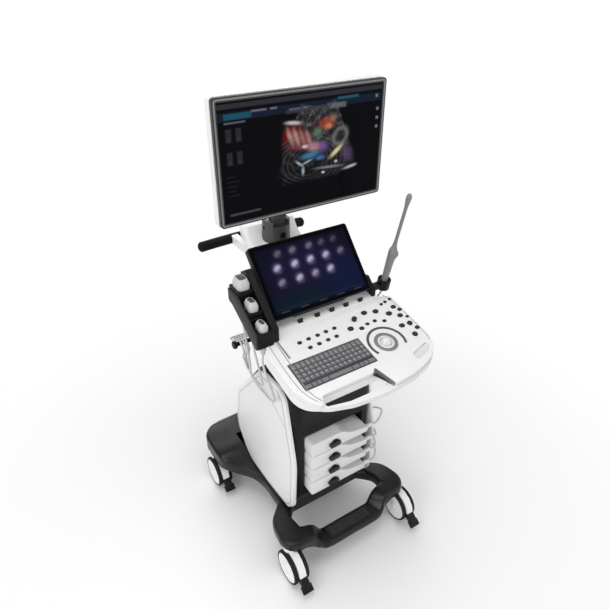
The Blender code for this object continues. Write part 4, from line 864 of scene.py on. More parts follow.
def tower():
    """Upright housing: rounded front corners, a recess for the plugs, a well on top for the lift."""
    low, high, back = BASE_TOP, TOWER_TOP, TOWER_BACK + 0.05
    mesh = slab([tower_side()], -TOWER_HALF, TOWER_HALF, SIDEWAYS)
    corners = [(-TOWER_HALF, TOWER_FRONT, TOWER_CORNER), (TOWER_HALF, TOWER_FRONT, TOWER_CORNER),
               (TOWER_HALF, back, 0.02), (-TOWER_HALF, back, 0.02)]
    mesh = boolean(mesh, [slab([rounded(corners, 4)], low - 0.01, high + 0.01)], "INTERSECT")
    recess = block((-RECESS_HALF, TOWER_FRONT - 0.02, RECESS_LOW),
                   (RECESS_HALF, TOWER_FRONT + RECESS_DEPTH, RECESS_LOW + PLUG_COUNT * PLUG_PITCH + 0.006))
    return cut(mesh, recess, slab([shroud_outline(-RUN)], SHROUD_LOW - 0.02, high + 0.02))


def rear_cover():
    """Service cover on the tower's sloping back, with the mains inlet let in near its foot."""
    skin = slab([tower_side(0.012)], -0.150, 0.150, SIDEWAYS)
    core = slab([tower_side(GAP)], -0.2, 0.2, SIDEWAYS)
    window = block((-0.145, 0.080, WING_TOP + 0.018), (0.145, 0.400, TOWER_TOP - 0.050), 0.010, 1)
    inlet = block((0.060, TOWER_BACK + 0.008, 0.236), (0.110, TOWER_BACK + 0.080, 0.270))
    return cut(boolean(cut(skin, core), [window], "INTERSECT"), inlet)


def strip(points, width):
    """Outline of a strip of this width along flat points."""
    sides = ([], [])
    for i, point in enumerate(points):
        along = (points[min(i + 1, len(points) - 1)] - points[max(i - 1, 0)]).normalized()
        across = Vector((-along.y, along.x)) * width / 2
        sides[0].append(point + across)
        sides[1].append(point - across)
    return sides[0] + sides[1][::-1]


def seat_on(mesh, x, z):
    """Frame on the back of a mesh: its third axis points out of the surface, its second one up."""
    tree = BVHTree.FromPolygons([v.co for v in mesh.vertices], [p.vertices for p in mesh.polygons])
    spot, normal, _, _ = tree.ray_cast(Vector((x, 1.0, z)), Vector((0, -1, 0)))
    across = Vector((-1, 0, 0))
    up = normal.cross(across).normalized()
    return at(*spot) @ Matrix((across, up, normal)).transposed().to_4x4()


def screws_on(mesh, places):
    """Recessed screw heads on the back of a mesh."""
    head = [(0, 0.0002), (0.0016, 0.0002), (0.002, 0.0012), (0.0034, 0.0012), (0.004, 0.0006),
            (0.004, -0.0015), (0, -0.0015)]
    return merged([turned(head, seat_on(mesh, x, z), 12) for x, z in places])


def side_outline(inset):
    """Outline of the flank cover, moved inwards by inset."""
    corners = [(-0.150, 0.205, 0.05), (-0.112, 0.159, 0.03), (0.040, BASE_TOP + 0.004, 0.16),
               (0.200, BASE_TOP + 0.004, 0.09), (0.292, 0.270, 0.10), (0.256, 0.470, 0.09),
               (0.060, 0.694, 0.09), (-0.098, 0.704, 0.060), (-0.160, 0.420, 0.30)]
    return shrunk(rounded(corners, 3), inset)


def on_flank(mesh, side):
    """The mesh of the right flank on its own side: reflected when that is the left one."""
    if side < 0:
        mesh.transform(Matrix.Diagonal((-1, 1, 1, 1)))
        mesh.flip_normals()
    return mesh


def side_panel():
    """White leaf-shaped cover with a rounded rim and a slight dome."""
    base, rim = TOWER_HALF + GAP, TOWER_HALF + GAP + 0.0055
    dome = [(side_outline(0.004 - 0.004 * cos(a)), rim + (PANEL_THICK - 0.0085) * sin(a))
            for a in (pi / 8, pi / 4, 3 * pi / 8, pi / 2)]
    return stacked([
        (side_outline(0.0), base), (side_outline(0.0), rim), *dome,
        (side_outline(0.014), base + PANEL_THICK - 0.0008),
        (side_outline(0.021), base + PANEL_THICK)], SIDEWAYS)


black_shell = plastic("black_shell", (0.0045, 0.0047, 0.005), 0.42, grain=1000, gloss=0.20)
white_shell = plastic("white_shell", (0.80, 0.80, 0.795), 0.34, grain=1000, clouding=0.015)
service_grey = plastic("service_grey", (0.145, 0.147, 0.153), 0.5, gloss=0.35)
# Grey for the thin lines on the flank covers and the deck: painted shadow in seams and slots, and painted
# shade along the flank rim.
seam_painted_shadow = plastic("seam_painted_shadow", 0.27, 0.5, gloss=0.3)
# Black for the vent slits and louvres: painted shade standing in for the dark inside of the openings.
vent_painted_shade = plastic("vent_painted_shade", 0.006, 0.7, gloss=0.2)
screw_steel = plastic("screw_steel", (0.42, 0.42, 0.43), 0.30, relief=0.0, metallic=1.0)

show("column_housing", softened(tower(), 0.0012), black_shell, "base", ["tower"], 30)
for hand, side in HANDS:
    panel = on_flank(side_panel(), side)
    show(f"flank_cover_{hand}", panel, white_shell, "base", [f"side_panel_{hand}"], 40)
    # A grey ring near the flank cover's edge and a grey line across it: painted shade at the rim's turn and
    # painted shadow in the seam.
    rim = slab([side_outline(0.0155), side_outline(0.0172)], SEAM_LOW, SEAM_LOW + 0.003, SIDEWAYS)
    seam = slab([strip(vectors(*FLANK_SEAM), 0.002)], SEAM_LOW, SEAM_LOW + 0.0033, SIDEWAYS)
    show(f"flank_contour_{hand}", on_flank(merged([rim, seam]), side), seam_painted_shadow, "base")

cover = rear_cover()
show("service_cover", softened(cover, 0.0012), service_grey, "base", ["rear_cover"], 30)
# The louvres are black strips on the cover, painted shade for the openings of the fan vents.
slat = boxed(((0.084, 0.0042, 0.0018, -0.0006), (0.084, 0.0042, 0.0018, 0.0006),
              (0.081, 0.0026, 0.0011, 0.0018)))
for hand, side in HANDS:
    for tag, height in LOUVRE_HEIGHTS:
        place = seat_on(cover, side * LOUVRE_X, height)
        louvres = studded(slat, LOUVRE_COUNTS, LOUVRE_PITCH, place, vent_painted_shade)
        show(f"louvres_{tag}_{hand}", louvres, vent_painted_shade, "base")
screws = screws_on(cover, [(side * SCREW_X, height) for side in (-1, 1) for height in SCREW_HEIGHTS])
show("cover_screws", screws, screw_steel, "base")
inlet = cut(block((-0.0235, -0.016, 0.0002), (0.0235, 0.016, 0.0038), 0.0006, 1),
            block((-0.015, -0.011, 0.0012), (0.015, 0.011, 0.01)))
pins = merged([block((x - 0.001, y - 0.0025, 0.0008), (x + 0.001, y + 0.0025, 0.0034))
               for x, y in INLET_PINS])
for mesh in (inlet, pins):
    mesh.transform(seat_on(cover, *INLET_AT))
show("mains_inlet", inlet, black_shell, "base")
show("inlet_pins", pins, screw_steel, "base")

# ---------------------------------------------------------------- probe plugs
# Four cast-plastic connectors, latched one above another in the column's recess.
# Each has a quarter-turn lock of black plastic on its face and a moulded boot at its right end.

PLUG_LEFT = -0.118
PLUG_RIGHT = 0.122
BOOT_RADIUS = 0.0075
LOCK_RADIUS = 0.014
LOCK_X = -0.022
LOCK_RISE = 0.024
LOCK_SUNK = 0.008
PORT_FACE = TOWER_FRONT + RECESS_DEPTH


def lock_frame(index):
    """Frame of a plug's lock: the third axis points at the operator."""
    return FACING @ at(LOCK_X, plug_low(index) + LOCK_RISE)


def plug(index):
    """Probe connector: a thick block on the left that thins towards the cable's exit on the right."""
    low = plug_low(index)
    high = low + PLUG_HEIGHT
    outline = rounded([
        (PLUG_LEFT, low, 0.012), (PLUG_RIGHT, low, 0.006), (PLUG_RIGHT, low + 0.022, 0.006),
        (0.052, low + 0.032, 0.02), (0.006, high, 0.006), (PLUG_LEFT, high, 0.012)], 2)
    mesh = slab([outline], -PORT_FACE + GAP, -PLUG_FRONT, FACING, bevel=0.004, segments=1)
    seat = rod(LOCK_RADIUS + RUN, -PLUG_FRONT - LOCK_SUNK, -PLUG_FRONT + 0.02, lock_frame(index), 12)
    boot = rod(BOOT_RADIUS, PLUG_RIGHT - 0.008, BOOT_END, at(0, BOOT_Y, low + BOOT_RISE) @ SIDEWAYS, 10)
    return join(cut(mesh, seat), boot)


def plug_lock(index):
    """Quarter-turn lock on a plug's face: a round boss with a broad finger bar."""
    place = lock_frame(index)
    boss = rod(LOCK_RADIUS, -PLUG_FRONT - LOCK_SUNK + GAP, -PLUG_FRONT + 0.004, place, 12)
    outline = rounded([(-0.025, -0.012, 0.010), (0.020, -0.009, 0.008), (0.020, 0.009, 0.008),
                       (-0.025, 0.007, 0.006)], 1)
    return join(boss, slab([outline], -PLUG_FRONT + 0.002, -PLUG_FRONT + 0.0115, place, bevel=0.002))


plug_white = plastic("plug_white", 0.80, 0.42, grain=1200)
lock_black = plastic("lock_black", (0.012, 0.012, 0.013), 0.38, gloss=0.35)
for index in range(PLUG_COUNT):
    number = index + 1
    show(f"connector_{number}", plug(index), plug_white, "base", [f"probe_plug_{number}"],
         30)
    show(f"connector_lock_{number}", plug_lock(index), lock_black, f"lock_{number}", [f"plug_lock_{number}"],
         30)

# ---------------------------------------------------------------- lift column
# A black telescoping cover, flared under the console.
# A cable hook with a round end cap stands out on either side.

REAR_LOW = 0.874
HOOK_CAP_RADIUS = 0.014


def lift_shroud():
    """Sliding column under the console, with a cable hook on either side."""
    high = REAR_LOW - GAP
    middle = (0.0, (SHROUD_FRONT + SHROUD_BACK) / 2 + 0.012)
    head = boxed(((2 * SHROUD_HALF - 0.004, 0.120, 0.014, high - 0.062), (0.330, 0.176, 0.020, high - 0.016),
                  (0.330, 0.176, 0.020, high)), middle, 2)
    y, z = HOOK_AT
    hooks = []
    for side in (-1, 1):
        route = vectors((side * 0.090, SHROUD_BACK - 0.020, z), (side * 0.118, SHROUD_BACK + 0.030, z),
                        (side * 0.140, y - 0.012, z), (side * 0.165, y, z), (side * HOOK_REACH, y, z))
        hooks.append(tube(smooth_path(route, 0.026), HOOK_RADIUS))
        tip = at(side * (HOOK_REACH + 0.004), y, z) @ SIDEWAYS
        hooks.append(rod(HOOK_CAP_RADIUS, -0.006, 0.006, tip, 12, 0.002))
    return join(slab([shroud_outline(0.0)], SHROUD_LOW, high), head, *hooks)


show("lift_column", lift_shroud(), black_shell, "console", ["lift_shroud"])

# ---------------------------------------------------------------- console
# White moulded housing with a grip slot behind its front bar, and a white deck plate on it.
# The deck slopes towards the operator and is cut out for the keyboard, the keys, the paddles and the ball.

DECK_TILT = radians(12.7)
DECK_PIVOT = (0.0, -0.248, 0.891)
CONSOLE_HALF = 0.251
CONSOLE_FRONT = -0.392
CONSOLE_REAR = 0.236
REAR_HALF = 0.118
REAR_TOP = 0.930
TOP_THICK = 0.015
BAR_THICK = 0.014
HOUSING_THICK = 0.028
GRIP = (-0.186, 0.010, -0.372, -0.331)
KEYBOARD_SIZE = (0.252, 0.102)
KEYBOARD_AT = (-0.092, -0.250)
KEYBOARD_SUNK = 0.005
BOARD_THICK = 0.0025
BALL_RADIUS = 0.019
BALL_AT = (0.104, -0.251)
BALL_SUNK = 0.003
TOGGLES = (-0.089, -0.026, 0.030, 0.086, 0.143)
TOGGLE_Y = -0.066
PRESS_TRAVEL = 0.0015
PRESS_KEYS = (("freeze_key", 0.2265, -0.220), ("print_key", 0.210, -0.264))
PRESS_RADIUS = 0.0088
KNOB_AT = (0.069, -0.133)
KNOB_RADIUS = 0.0085
KNOB_SHAFT = 0.003
OVAL_CAPS = (  # plan place and half the depth of every fixed cap
    (-0.139, -0.142, 0.0056), (-0.106, -0.140, 0.0056), (-0.073, -0.139, 0.0056), (-0.041, -0.137, 0.0056),
    (-0.009, -0.136, 0.0056), (-0.120, -0.171, 0.0056), (-0.087, -0.170, 0.0056), (-0.054, -0.168, 0.0056),
    (-0.022, -0.167, 0.0056), (0.036, -0.160, 0.008), (0.070, -0.173, 0.0066), (0.098, -0.165, 0.0054),
    (0.128, -0.164, 0.0054), (0.157, -0.177, 0.0054), (0.215, -0.108, 0.0048), (0.238, -0.104, 0.0048),
    (0.196, -0.112, 0.0046), (0.118, -0.121, 0.008), (0.157, -0.131, 0.008), (0.192, -0.157, 0.0084),
    (0.2205, -0.179, 0.0076), (0.2255, -0.1385, 0.0072), (0.2375, -0.1565, 0.0062), (0.2395, -0.1925, 0.0048),
    (0.196, -0.2175, 0.0078), (0.2365, -0.2445, 0.0066))
MEMO_SLOT = ((-0.1973, -0.099), (-0.1965, -0.182))
RIM_LINE = ((-0.204, -0.118), (-0.206, -0.172), (-0.211, -0.249), (-0.214, -0.296), (-0.206, -0.326),
            (-0.196, -0.346))
RIM_LEFT = ((-0.227, -0.090), (-0.229, -0.140), (-0.232, -0.200), (-0.233, -0.250), (-0.229, -0.295),
            (-0.219, -0.325), (-0.208, -0.343))
RIM_RIGHT = ((0.230, -0.075), (0.239, -0.110), (0.2445, -0.170), (0.245, -0.230), (0.244, -0.280),
             (0.239, -0.300))
PALM_SLOT = ((0.150, -0.322, 0.007), (0.218, -0.304, 0.006), (0.225, -0.314, 0.008), (0.204, -0.334, 0.02),
             (0.146, -0.352, 0.008))
DECK = at(*DECK_PIVOT) @ Matrix.Rotation(DECK_TILT, 4, "X")


def on_deck(x, y):
    """Plan position as a point in the deck's own plane."""
    return Vector((x, (y - DECK_PIVOT[1]) / cos(DECK_TILT)))


def laid(points):
    """Plan points as points in the deck's own plane."""
    return [on_deck(*point) for point in points]


def deck_height(y, below=0.0):
    """Height of the deck, or of a surface so far below it, at plan position y."""
    return DECK_PIVOT[2] + (y - DECK_PIVOT[1]) * tan(DECK_TILT) - below / cos(DECK_TILT)


def deck_meets(height, below):
    """Plan position y where the surface so far below the deck is at this height."""
    return DECK_PIVOT[1] + (height - DECK_PIVOT[2] + below / cos(DECK_TILT)) / tan(DECK_TILT)


def in_deck(x, y, height=0.0):
    """Frame whose third axis stands square on the deck."""
    return DECK @ at(*on_deck(x, y), height)


def ribbon(route, width, low, high):
    """Solid strip on the deck, along plan points."""
    return slab([strip(laid(route), width)], low, high, DECK)


def console_plan(rear):
    """Plan corners of the console. The left rear corner is cut away for the hanging probes."""
    half, front = CONSOLE_HALF, CONSOLE_FRONT
    right = [(0.112, front + 0.009, 0.15), (0.188, front + 0.030, 0.12), (half - 0.018, front + 0.062, 0.06),
             (half, front + 0.112, 0.08)]
    left = [(-x, y, r) for x, y, r in reversed(right)]
    return [(0.0, front - 0.0015, 0.6), *right, (half, -0.088, 0.02), (0.205, -0.078, 0.02), *rear,
            (-0.198, -0.112, 0.01), (-half, -0.124, 0.02), *left]


def console_base():
    """Housing under the deck. Its front bar is the hand grip, and its rear carries neck and touch screen."""
    rear = [(0.200, -0.004, 0.03), (REAR_HALF + 0.006, 0.030, 0.03), (REAR_HALF, CONSOLE_REAR, 0.03)]
    rear += [(-x, y, r) for x, y, r in reversed(rear)]
    plan = slab([rounded(console_plan(rear), 2)], 0.7, 1.1)
    sunk = TOP_THICK + GAP
    bar, under = sunk + BAR_THICK, sunk + HOUSING_THICK
    step, flat = deck_meets(REAR_TOP, sunk), deck_meets(REAR_LOW, under)
    front, back, ledge = -0.46, 0.300, GRIP[3] + 0.030
    side = vectors(
        (front, deck_height(front, bar)), (ledge - 0.050, deck_height(ledge - 0.050, bar)),
        (ledge, deck_height(ledge, under)), (flat, REAR_LOW), (back, REAR_LOW), (back, REAR_TOP),
        (step, REAR_TOP), (front, deck_height(front, sunk)))
    mesh = boolean(slab([side], -0.3, 0.3, SIDEWAYS), [plan], "INTERSECT")
    left, right, low, high = GRIP
    slot = rounded([(left, low + 0.016, 0.006), (left + 0.070, low + 0.002, 0.08),
                    (right + 0.012, low, 0.010), (right, high, 0.008), (left, high, 0.008)], 2)
    cup = rod(BALL_RADIUS + 0.0025, -BALL_SUNK - BALL_RADIUS - GAP, 0.01, in_deck(*BALL_AT), 20)
    return cut(mesh, slab([slot], 0.7, 1.1), cup)


def board_outline():
    """Board under the keys, as deck points."""
    return laid([(-0.152, -0.184), (0.020, -0.184), (0.060, -0.196), (0.150, -0.204), (0.182, -0.215),
                 (0.184, -0.276), (0.236, -0.276), (0.249, -0.255), (0.249, -0.096), (0.100, -0.108),
                 (0.052, -0.122), (-0.152, -0.124)])


def key_outline(x, y, radius):
    """Outline of an oval key cap, as deck points."""
    return box_outline(2.5 * radius, 2.0 * radius, 0.95 * radius, on_deck(x, y), 2)


def plate_outline():
    """Outline of the deck plate, as deck points: it leaves the grip slot and the front bar free."""
    left, right, low, high = GRIP
    plan = console_plan([(0.200, -0.010, 0.01), (-0.200, -0.010, 0.01)])
    plan = [corner for corner in plan if corner[0] > right + 0.04 or corner[1] > CONSOLE_FRONT + 0.100]
    return laid(rounded([
        (right + 0.022, CONSOLE_FRONT + 0.002, 0.004), *plan,
        (-CONSOLE_HALF + 0.018, CONSOLE_FRONT + 0.062, 0.05), (left - 0.016, low + 0.006, 0.008),
        (left + 0.002, high, 0.010), (right - 0.016, high, 0.02), (right - 0.001, high + 0.018, 0.004)], 3))


def console_top():
    """Deck plate: a hole for every key, a tray for the keyboard, a socket for the ball, slots for paddles."""
    x, y = (size / 2 + RUN for size in KEYBOARD_SIZE)
    plate = cut(
        slab([plate_outline()], -TOP_THICK, 0.0, DECK, bevel=0.0025, segments=1),
        slab([shrunk(board_outline(), -0.001)], -TOP_THICK - 0.01, -TOP_THICK + 0.0055, DECK),
        block((-x, -y, -KEYBOARD_SUNK), (x, y, 0.01), matrix=in_deck(*KEYBOARD_AT)),
        rod(BALL_RADIUS + RUN, -0.05, 0.02, in_deck(*BALL_AT), 24),
        slab([laid(rounded(PALM_SLOT, 3))], -0.0065, 0.01, DECK),
        ribbon(MEMO_SLOT, 0.0074, -0.002, 0.01))
    holes = [slab([shrunk(key_outline(*cap), -RUN)], -0.02, 0.01, DECK) for cap in OVAL_CAPS]
    holes += [rod(PRESS_RADIUS + RUN, -0.02, 0.01, in_deck(x, y), 10) for _, x, y in PRESS_KEYS]
    holes += [rod(KNOB_SHAFT + RUN, -0.02, 0.01, in_deck(*KNOB_AT), 8)]
    holes += [block((-0.0095, -0.0075, -0.0075), (0.0095, 0.0075, 0.01), matrix=in_deck(x, TOGGLE_Y))
              for x in TOGGLES]
    return cut(plate, merged(holes))


show("console_housing", console_base(), white_shell, "console", ["console_base"])
show("deck_plate", console_top(), white_shell, "console", ["console_top"], 30)
# Grey strips along the deck's rim and in the memo slot: painted shadow in the seam between deck plate and
# housing, and painted shade on the slot's floor.
seam_shadows = [ribbon(RIM_LINE, 0.0026, -0.001, 0.0002), ribbon(MEMO_SLOT, 0.0072, -0.0022, -0.0016)]
seam_shadows += [ribbon(route, 0.002, -0.001, 0.0003) for route in (RIM_LEFT, RIM_RIGHT)]
show("deck_seams", merged(seam_shadows), seam_painted_shadow, "console")
# A pale grey sheet on the palm slot's floor: painted shade in the recess, whose floor is the deck's white
# plastic.
slot_painted_shade = plastic("slot_painted_shade", 0.68, 0.5)
slot_floor = slab([laid(shrunk(rounded(PALM_SLOT, 3), 0.0004))], -0.0064, -0.0056, DECK)
show("palm_slot_floor", slot_floor, slot_painted_shade, "console")
# A grey strip along the palm rest's raised edge: painted shade on its side wall, which is white plastic in
# shadow.
palm_wall_painted_shade = plastic("palm_wall_painted_shade", (0.22, 0.22, 0.225), 0.5, gloss=0.3)
_, right, _, high = GRIP
palm_edge = [(right - 0.0135, high + 0.0005), (right - 0.0015, high + 0.0165),
             (right + 0.0215, CONSOLE_FRONT + 0.006)]
wall = ribbon(palm_edge, 0.003, -TOP_THICK + 0.0005, -0.0016)
show("palm_rest_wall", wall, palm_wall_painted_shade, "console")

# ---------------------------------------------------------------- keyboard and controls
# Dark grey keys lie on a moulded tray, and black rubber caps fill the holes of the deck.
# Beside them are spring paddles with black tips, a gain knob and a pale ball in a grey ring.

KEY_COLUMNS, KEY_ROWS, FULL_ROWS = 15, 6, 4
KEY_ACROSS, KEY_ALONG = (KEYBOARD_SIZE[0] - 0.006) / KEY_COLUMNS, (KEYBOARD_SIZE[1] - 0.006) / KEY_ROWS
KEY_GAP = 0.0022
LONG_ROW = (1.5, 1, 1, 1.5, 5, 1.5, 1, 1, 1.5)  # widths of the front row's keys, in columns
ARC_AT, ARC_RADII = (0.107, -0.252), (0.056, 0.064)
ARC_SPAN = (-28, 207)  # in degrees from the operator's right


def press_key(x, y):
    radius, low = PRESS_RADIUS, -TOP_THICK + BOARD_THICK + PRESS_TRAVEL + GAP
    return turned([(0, 0.0042), (radius - 0.0012, 0.0042), (radius, 0.003), (radius, low), (0, low)],
                  in_deck(x, y), 10)


def gain_knob():
    """Round knob on a shaft through the deck."""
    low = -TOP_THICK + BOARD_THICK + GAP
    profile = [(0, 0.0115), (KNOB_RADIUS - 0.0025, 0.0115), (KNOB_RADIUS - 0.0008, 0.0098),
               (KNOB_RADIUS, RUN), (KNOB_SHAFT, RUN), (KNOB_SHAFT, low), (0, low)]
    return turned(profile, in_deck(*KNOB_AT), 12)


def toggle(x):
    """Paddle on a barrel that turns in its slot."""
    place = in_deck(x, TOGGLE_Y, -0.0035) @ SIDEWAYS
    outline = rounded([(-0.0028, 0.0, 0), (0.0028, 0.0, 0), (0.0042, 0.0125, 0.002),
                       (-0.003, 0.0125, 0.002)], 1)
    return join(rod(0.0035, -0.009, 0.009, place, 8), slab([outline], -0.008, 0.008, place))


def trackball():
    r, steps = BALL_RADIUS, 8
    arc = [pi * k / steps for k in range(1, steps)]
    profile = [(0, r), *((r * sin(a), r * cos(a)) for a in arc), (0, -r)]
    return turned(profile, in_deck(*BALL_AT, -BALL_SUNK), 16)


def key_cap(width, depth):
    """Key cap with sloped sides and a slightly narrower top."""
    return boxed(((width, depth, 0.0012, 0.0), (width - 0.0006, depth - 0.0006, 0.0012, 0.002),
                  (width - 0.0022, depth - 0.0024, 0.0014, 0.0036)))


def keyboard_caps(finish):
    """Six rows of caps on the tray: four full rows, a low one behind them, one in front with the long bar."""
    width, depth = KEYBOARD_SIZE
    place = in_deck(*KEYBOARD_AT, -0.0022)
    rows = []
    back = depth / 2 - 0.003 - KEY_ALONG / 2 + 0.001
    for count, gap, y in ((FULL_ROWS, KEY_GAP, KEY_ALONG / 2), (1, 0.0052, back)):
        cap = key_cap(KEY_ACROSS - KEY_GAP, KEY_ALONG - gap)
        rows.append(studded(cap, (KEY_COLUMNS, count), (KEY_ACROSS, KEY_ALONG), place @ at(0, y), finish))
    x, y = -width / 2 + 0.003, -depth / 2 + 0.003 + KEY_ALONG / 2
    for span in LONG_ROW:
        cap = key_cap(KEY_ACROSS * span - KEY_GAP, KEY_ALONG - KEY_GAP)
        cap.transform(place @ at(x + KEY_ACROSS * span / 2, y))
        rows.append(cap)
        x += KEY_ACROSS * span
    return merged(rows)


def keyboard_tray():
    x, y = (size / 2 for size in KEYBOARD_SIZE)
    return block((-x, -y, 0.0), (x, y, 0.0027), 0.0006, 1, in_deck(*KEYBOARD_AT, -KEYBOARD_SUNK + GAP))


def arc_band():
    """Raised band on the deck, part of a ring round the ball."""
    centre, (inner, outer), (start, end) = on_deck(*ARC_AT), ARC_RADII, ARC_SPAN
    rays = [Vector((cos(a), sin(a))) for a in (radians(start + (end - start) * k / 60) for k in range(61))]
    ring = [centre + outer * ray for ray in rays] + [centre + inner * ray for ray in reversed(rays)]
    return slab([ring], -0.0005, 0.0012, DECK, bevel=0.0004, segments=1)


def button_caps():
    """Oval rubber caps with domed tops, on their board."""
    parts = [slab([board_outline()], -TOP_THICK, -TOP_THICK + 0.0008, DECK)]
    for x, y, radius in OVAL_CAPS:
        outline, top = key_outline(x, y, radius), 0.0014 + 0.2 * radius
        parts.append(stacked([
            (outline, -TOP_THICK + 0.001), (outline, top - 0.001), (shrunk(outline, 0.0003), top - 0.0004),
            (shrunk(outline, 0.0009), top), (shrunk(outline, radius * 0.55), top + 0.0003)], DECK))
    return merged(parts)


key_grey = plastic("key_grey", (0.180, 0.182, 0.192), 0.5, gloss=0.35)
cap_black = plastic("cap_black", (0.016, 0.016, 0.018), 0.45, gloss=0.35)
ball_white = plastic("ball_white", 0.72, 0.16, relief=0.0, coat=0.3)
ring_grey = plastic("ring_grey", (0.20, 0.20, 0.21), 0.35, gloss=0.4)
tray_black = plastic("tray_black", (0.040, 0.040, 0.044), 0.5, gloss=0.35)
mark_pale = plastic("mark_pale", (0.55, 0.55, 0.56), 0.5, gloss=0.35)
arc_grey = plastic("arc_grey", (0.075, 0.075, 0.080), 0.4, gloss=0.35)
show("key_tray", keyboard_tray(), tray_black, "console", ["keyboard"])
show("key_field", keyboard_caps(key_grey), key_grey, "console")
show("key_caps", button_caps(), cap_black, "console", ["button_board"])
mark = block((-0.0016, -0.0011, -0.0002), (0.0016, 0.0011, 0.00022))
marks_at = in_deck(*KEYBOARD_AT, 0.0014) @ at(-0.0016, KEY_ALONG / 2 + 0.0018)
marks = studded(mark, (KEY_COLUMNS, FULL_ROWS), (KEY_ACROSS, KEY_ALONG), marks_at, mark_pale)
show("key_marks", marks, mark_pale, "console")
inside = BALL_RADIUS + 0.0012
collar = [(inside, -0.0012), (inside, 0.001), (BALL_RADIUS + 0.002, 0.0018), (0.025, 0.0018), (0.0262, 0.001),
          (0.0262, -0.0012), (inside, -0.0012)]
ring = [(0.0266, -0.0006), (0.0266, 0.0014), (0.0276, 0.0024), (0.0352, 0.0024), (0.0378, 0.0012),
        (0.0382, 0.0002), (0.0382, -0.0006), (0.0266, -0.0006)]
show("ball_collar", turned(collar, in_deck(*BALL_AT), 24), white_shell, "console")
show("ball_ring", turned(ring, in_deck(*BALL_AT), 24), ring_grey, "console")
show("key_arc", arc_band(), arc_grey, "console")
for name, x, y in PRESS_KEYS:
    show(f"{name}_cap", press_key(x, y), cap_black, name, [name])
show("gain_dial", gain_knob(), cap_black, "gain_knob", ["gain_knob"])
for number, x in enumerate(TOGGLES, 1):
    show(f"paddle_{number}", toggle(x), cap_black, f"toggle_{number}", [f"toggle_{number}"])
show("ball", trackball(), ball_white, "trackball", ["trackball"])

# ---------------------------------------------------------------- touch screen
# A black shell on a two-lug hinge stands behind the controls, with its foot screwed to the deck.
# Its face is one sheet of dark coated glass, and the picture glows behind it.

TOUCH_SIZE = (0.367, 0.236)
TOUCH_AT = (0.006, 1.054)
TOUCH_THICK = 0.022
TOUCH_HINGE = (-0.020, 0.964)
PIN_RADIUS = 0.006
TOUCH_GLASS, TOUCH_GRID = (TOUCH_SIZE[0] - 0.008, TOUCH_SIZE[1] - 0.008, 0.0013), (220, 140)
TOUCH = at(0.0, *TOUCH_AT) @ turn(48.3, "X")


def two_slabs(outline, low, high):
    """Slabs with this side view: one between low and high on the right, one in the same place on the left."""
    return [slab([outline], *ends, SIDEWAYS) for ends in ((-high, -low), (low, high))]


def touch_housing():
    """Shell of the touch screen with two hinge ears low on its back."""
    width, depth = TOUCH_SIZE
    outline = box_outline(width, depth, 0.009, steps=3)
    shell = slab([outline], -TOUCH_THICK, -0.0016, TOUCH, bevel=0.003, segments=1)
    y, z = TOUCH_HINGE
    foot = TOUCH @ Vector((0.0, -depth / 2 + 0.050, -TOUCH_THICK + 0.003))
    head = TOUCH @ Vector((0.0, -depth / 2 + 0.016, -TOUCH_THICK + 0.003))
    ear = vectors((head.y, head.z), (y - 0.008, z - 0.010), (y + 0.010, z - 0.008), (y + 0.011, z + 0.006),
                  (foot.y, foot.z))
    return cut(join(shell, *two_slabs(ear, 0.050, 0.066)), crossbar(PIN_RADIUS + RUN, 0.10, TOUCH_HINGE, 16))


def touch_bracket():
    """Foot on the deck with two lugs and the hinge pin between them."""
    y, z = TOUCH_HINGE
    base = deck_height(y) + 0.002
    foot = block((-0.100, -0.024, GAP), (0.100, 0.008, 0.005), 0.001, 1, in_deck(0.0, y))
    pin = crossbar(PIN_RADIUS, 0.088, TOUCH_HINGE, 16)
    lug = rounded([(y - 0.018, base - 0.002, 0), (y + 0.007, base + 0.002, 0), (y + 0.009, z + 0.006, 0.006),
                   (y - 0.009, z + 0.009, 0.006)], 2)
    return join(foot, pin, *two_slabs(lug, 0.078, 0.092))


def display(name):
    """Coated panel: the picture glows behind a dark sheet that hardly mirrors the room."""
    made, tree, shader = principled(name, Base_Color=(0.002, 0.002, 0.0025, 1), Specular_IOR_Level=0.02,
                                    Emission_Strength=1.0)
    where = node(tree, "ShaderNodeTexCoord").outputs["Object"]
    smear = node(tree, "ShaderNodeTexNoise", Vector=where, Scale=14.0, Detail=4.0).outputs["Fac"]
    gloss = node(tree, "ShaderNodeMapRange", Value=smear, To_Min=0.07, To_Max=0.20).outputs["Result"]
    picture = node(tree, "ShaderNodeAttribute", attribute_name="picture").outputs["Color"]
    wire(tree, shader, Emission_Color=picture, Roughness=gloss)
    return made


def pane(size, grid, paint, place):
    """Closed sheet of glass. Its face is a fine grid of points that carry the picture from paint(u, v).

    u runs from the left edge to the right, v from the top edge down, both from 0 to 1."""
    (width, height, thick), (columns, rows), across = size, grid, grid[0] + 1
    u, v = np.meshgrid(np.linspace(0, 1, across), np.linspace(0, 1, rows + 1))
    face = np.stack([(u - 0.5) * width, (0.5 - v) * height, np.zeros_like(u)], -1).reshape(-1, 3)
    first = (np.arange(rows)[:, None] * across + np.arange(columns)).reshape(-1)
    quads = np.stack([first, first + across, first + across + 1, first + 1], -1)
    rim = [*range(across), *(across * (row + 1) - 1 for row in range(1, rows + 1)),
           *(across * rows + column for column in range(columns - 1, -1, -1)),
           *(across * row for row in range(rows - 1, 0, -1))]
    count, around = len(face), len(rim)
    sides = [(count + i, rim[i], rim[i - 1], count + (i - 1) % around) for i in range(around)]
    mesh = bpy.data.meshes.new("pane")
    mesh.from_pydata(np.vstack([face, face[rim] - (0, 0, thick)]).tolist(), [],
                     quads.tolist() + sides + [tuple(range(count, count + around))])
    colours = np.zeros((count + around, 4))
    colours[:, 3] = 1
    colours[:count, :3] = paint(u.reshape(-1), v.reshape(-1))
    mesh.attributes.new("picture", "FLOAT_COLOR", "POINT").data.foreach_set("color", colours.reshape(-1))
    mesh.transform(place)
    return worked(mesh, faced)


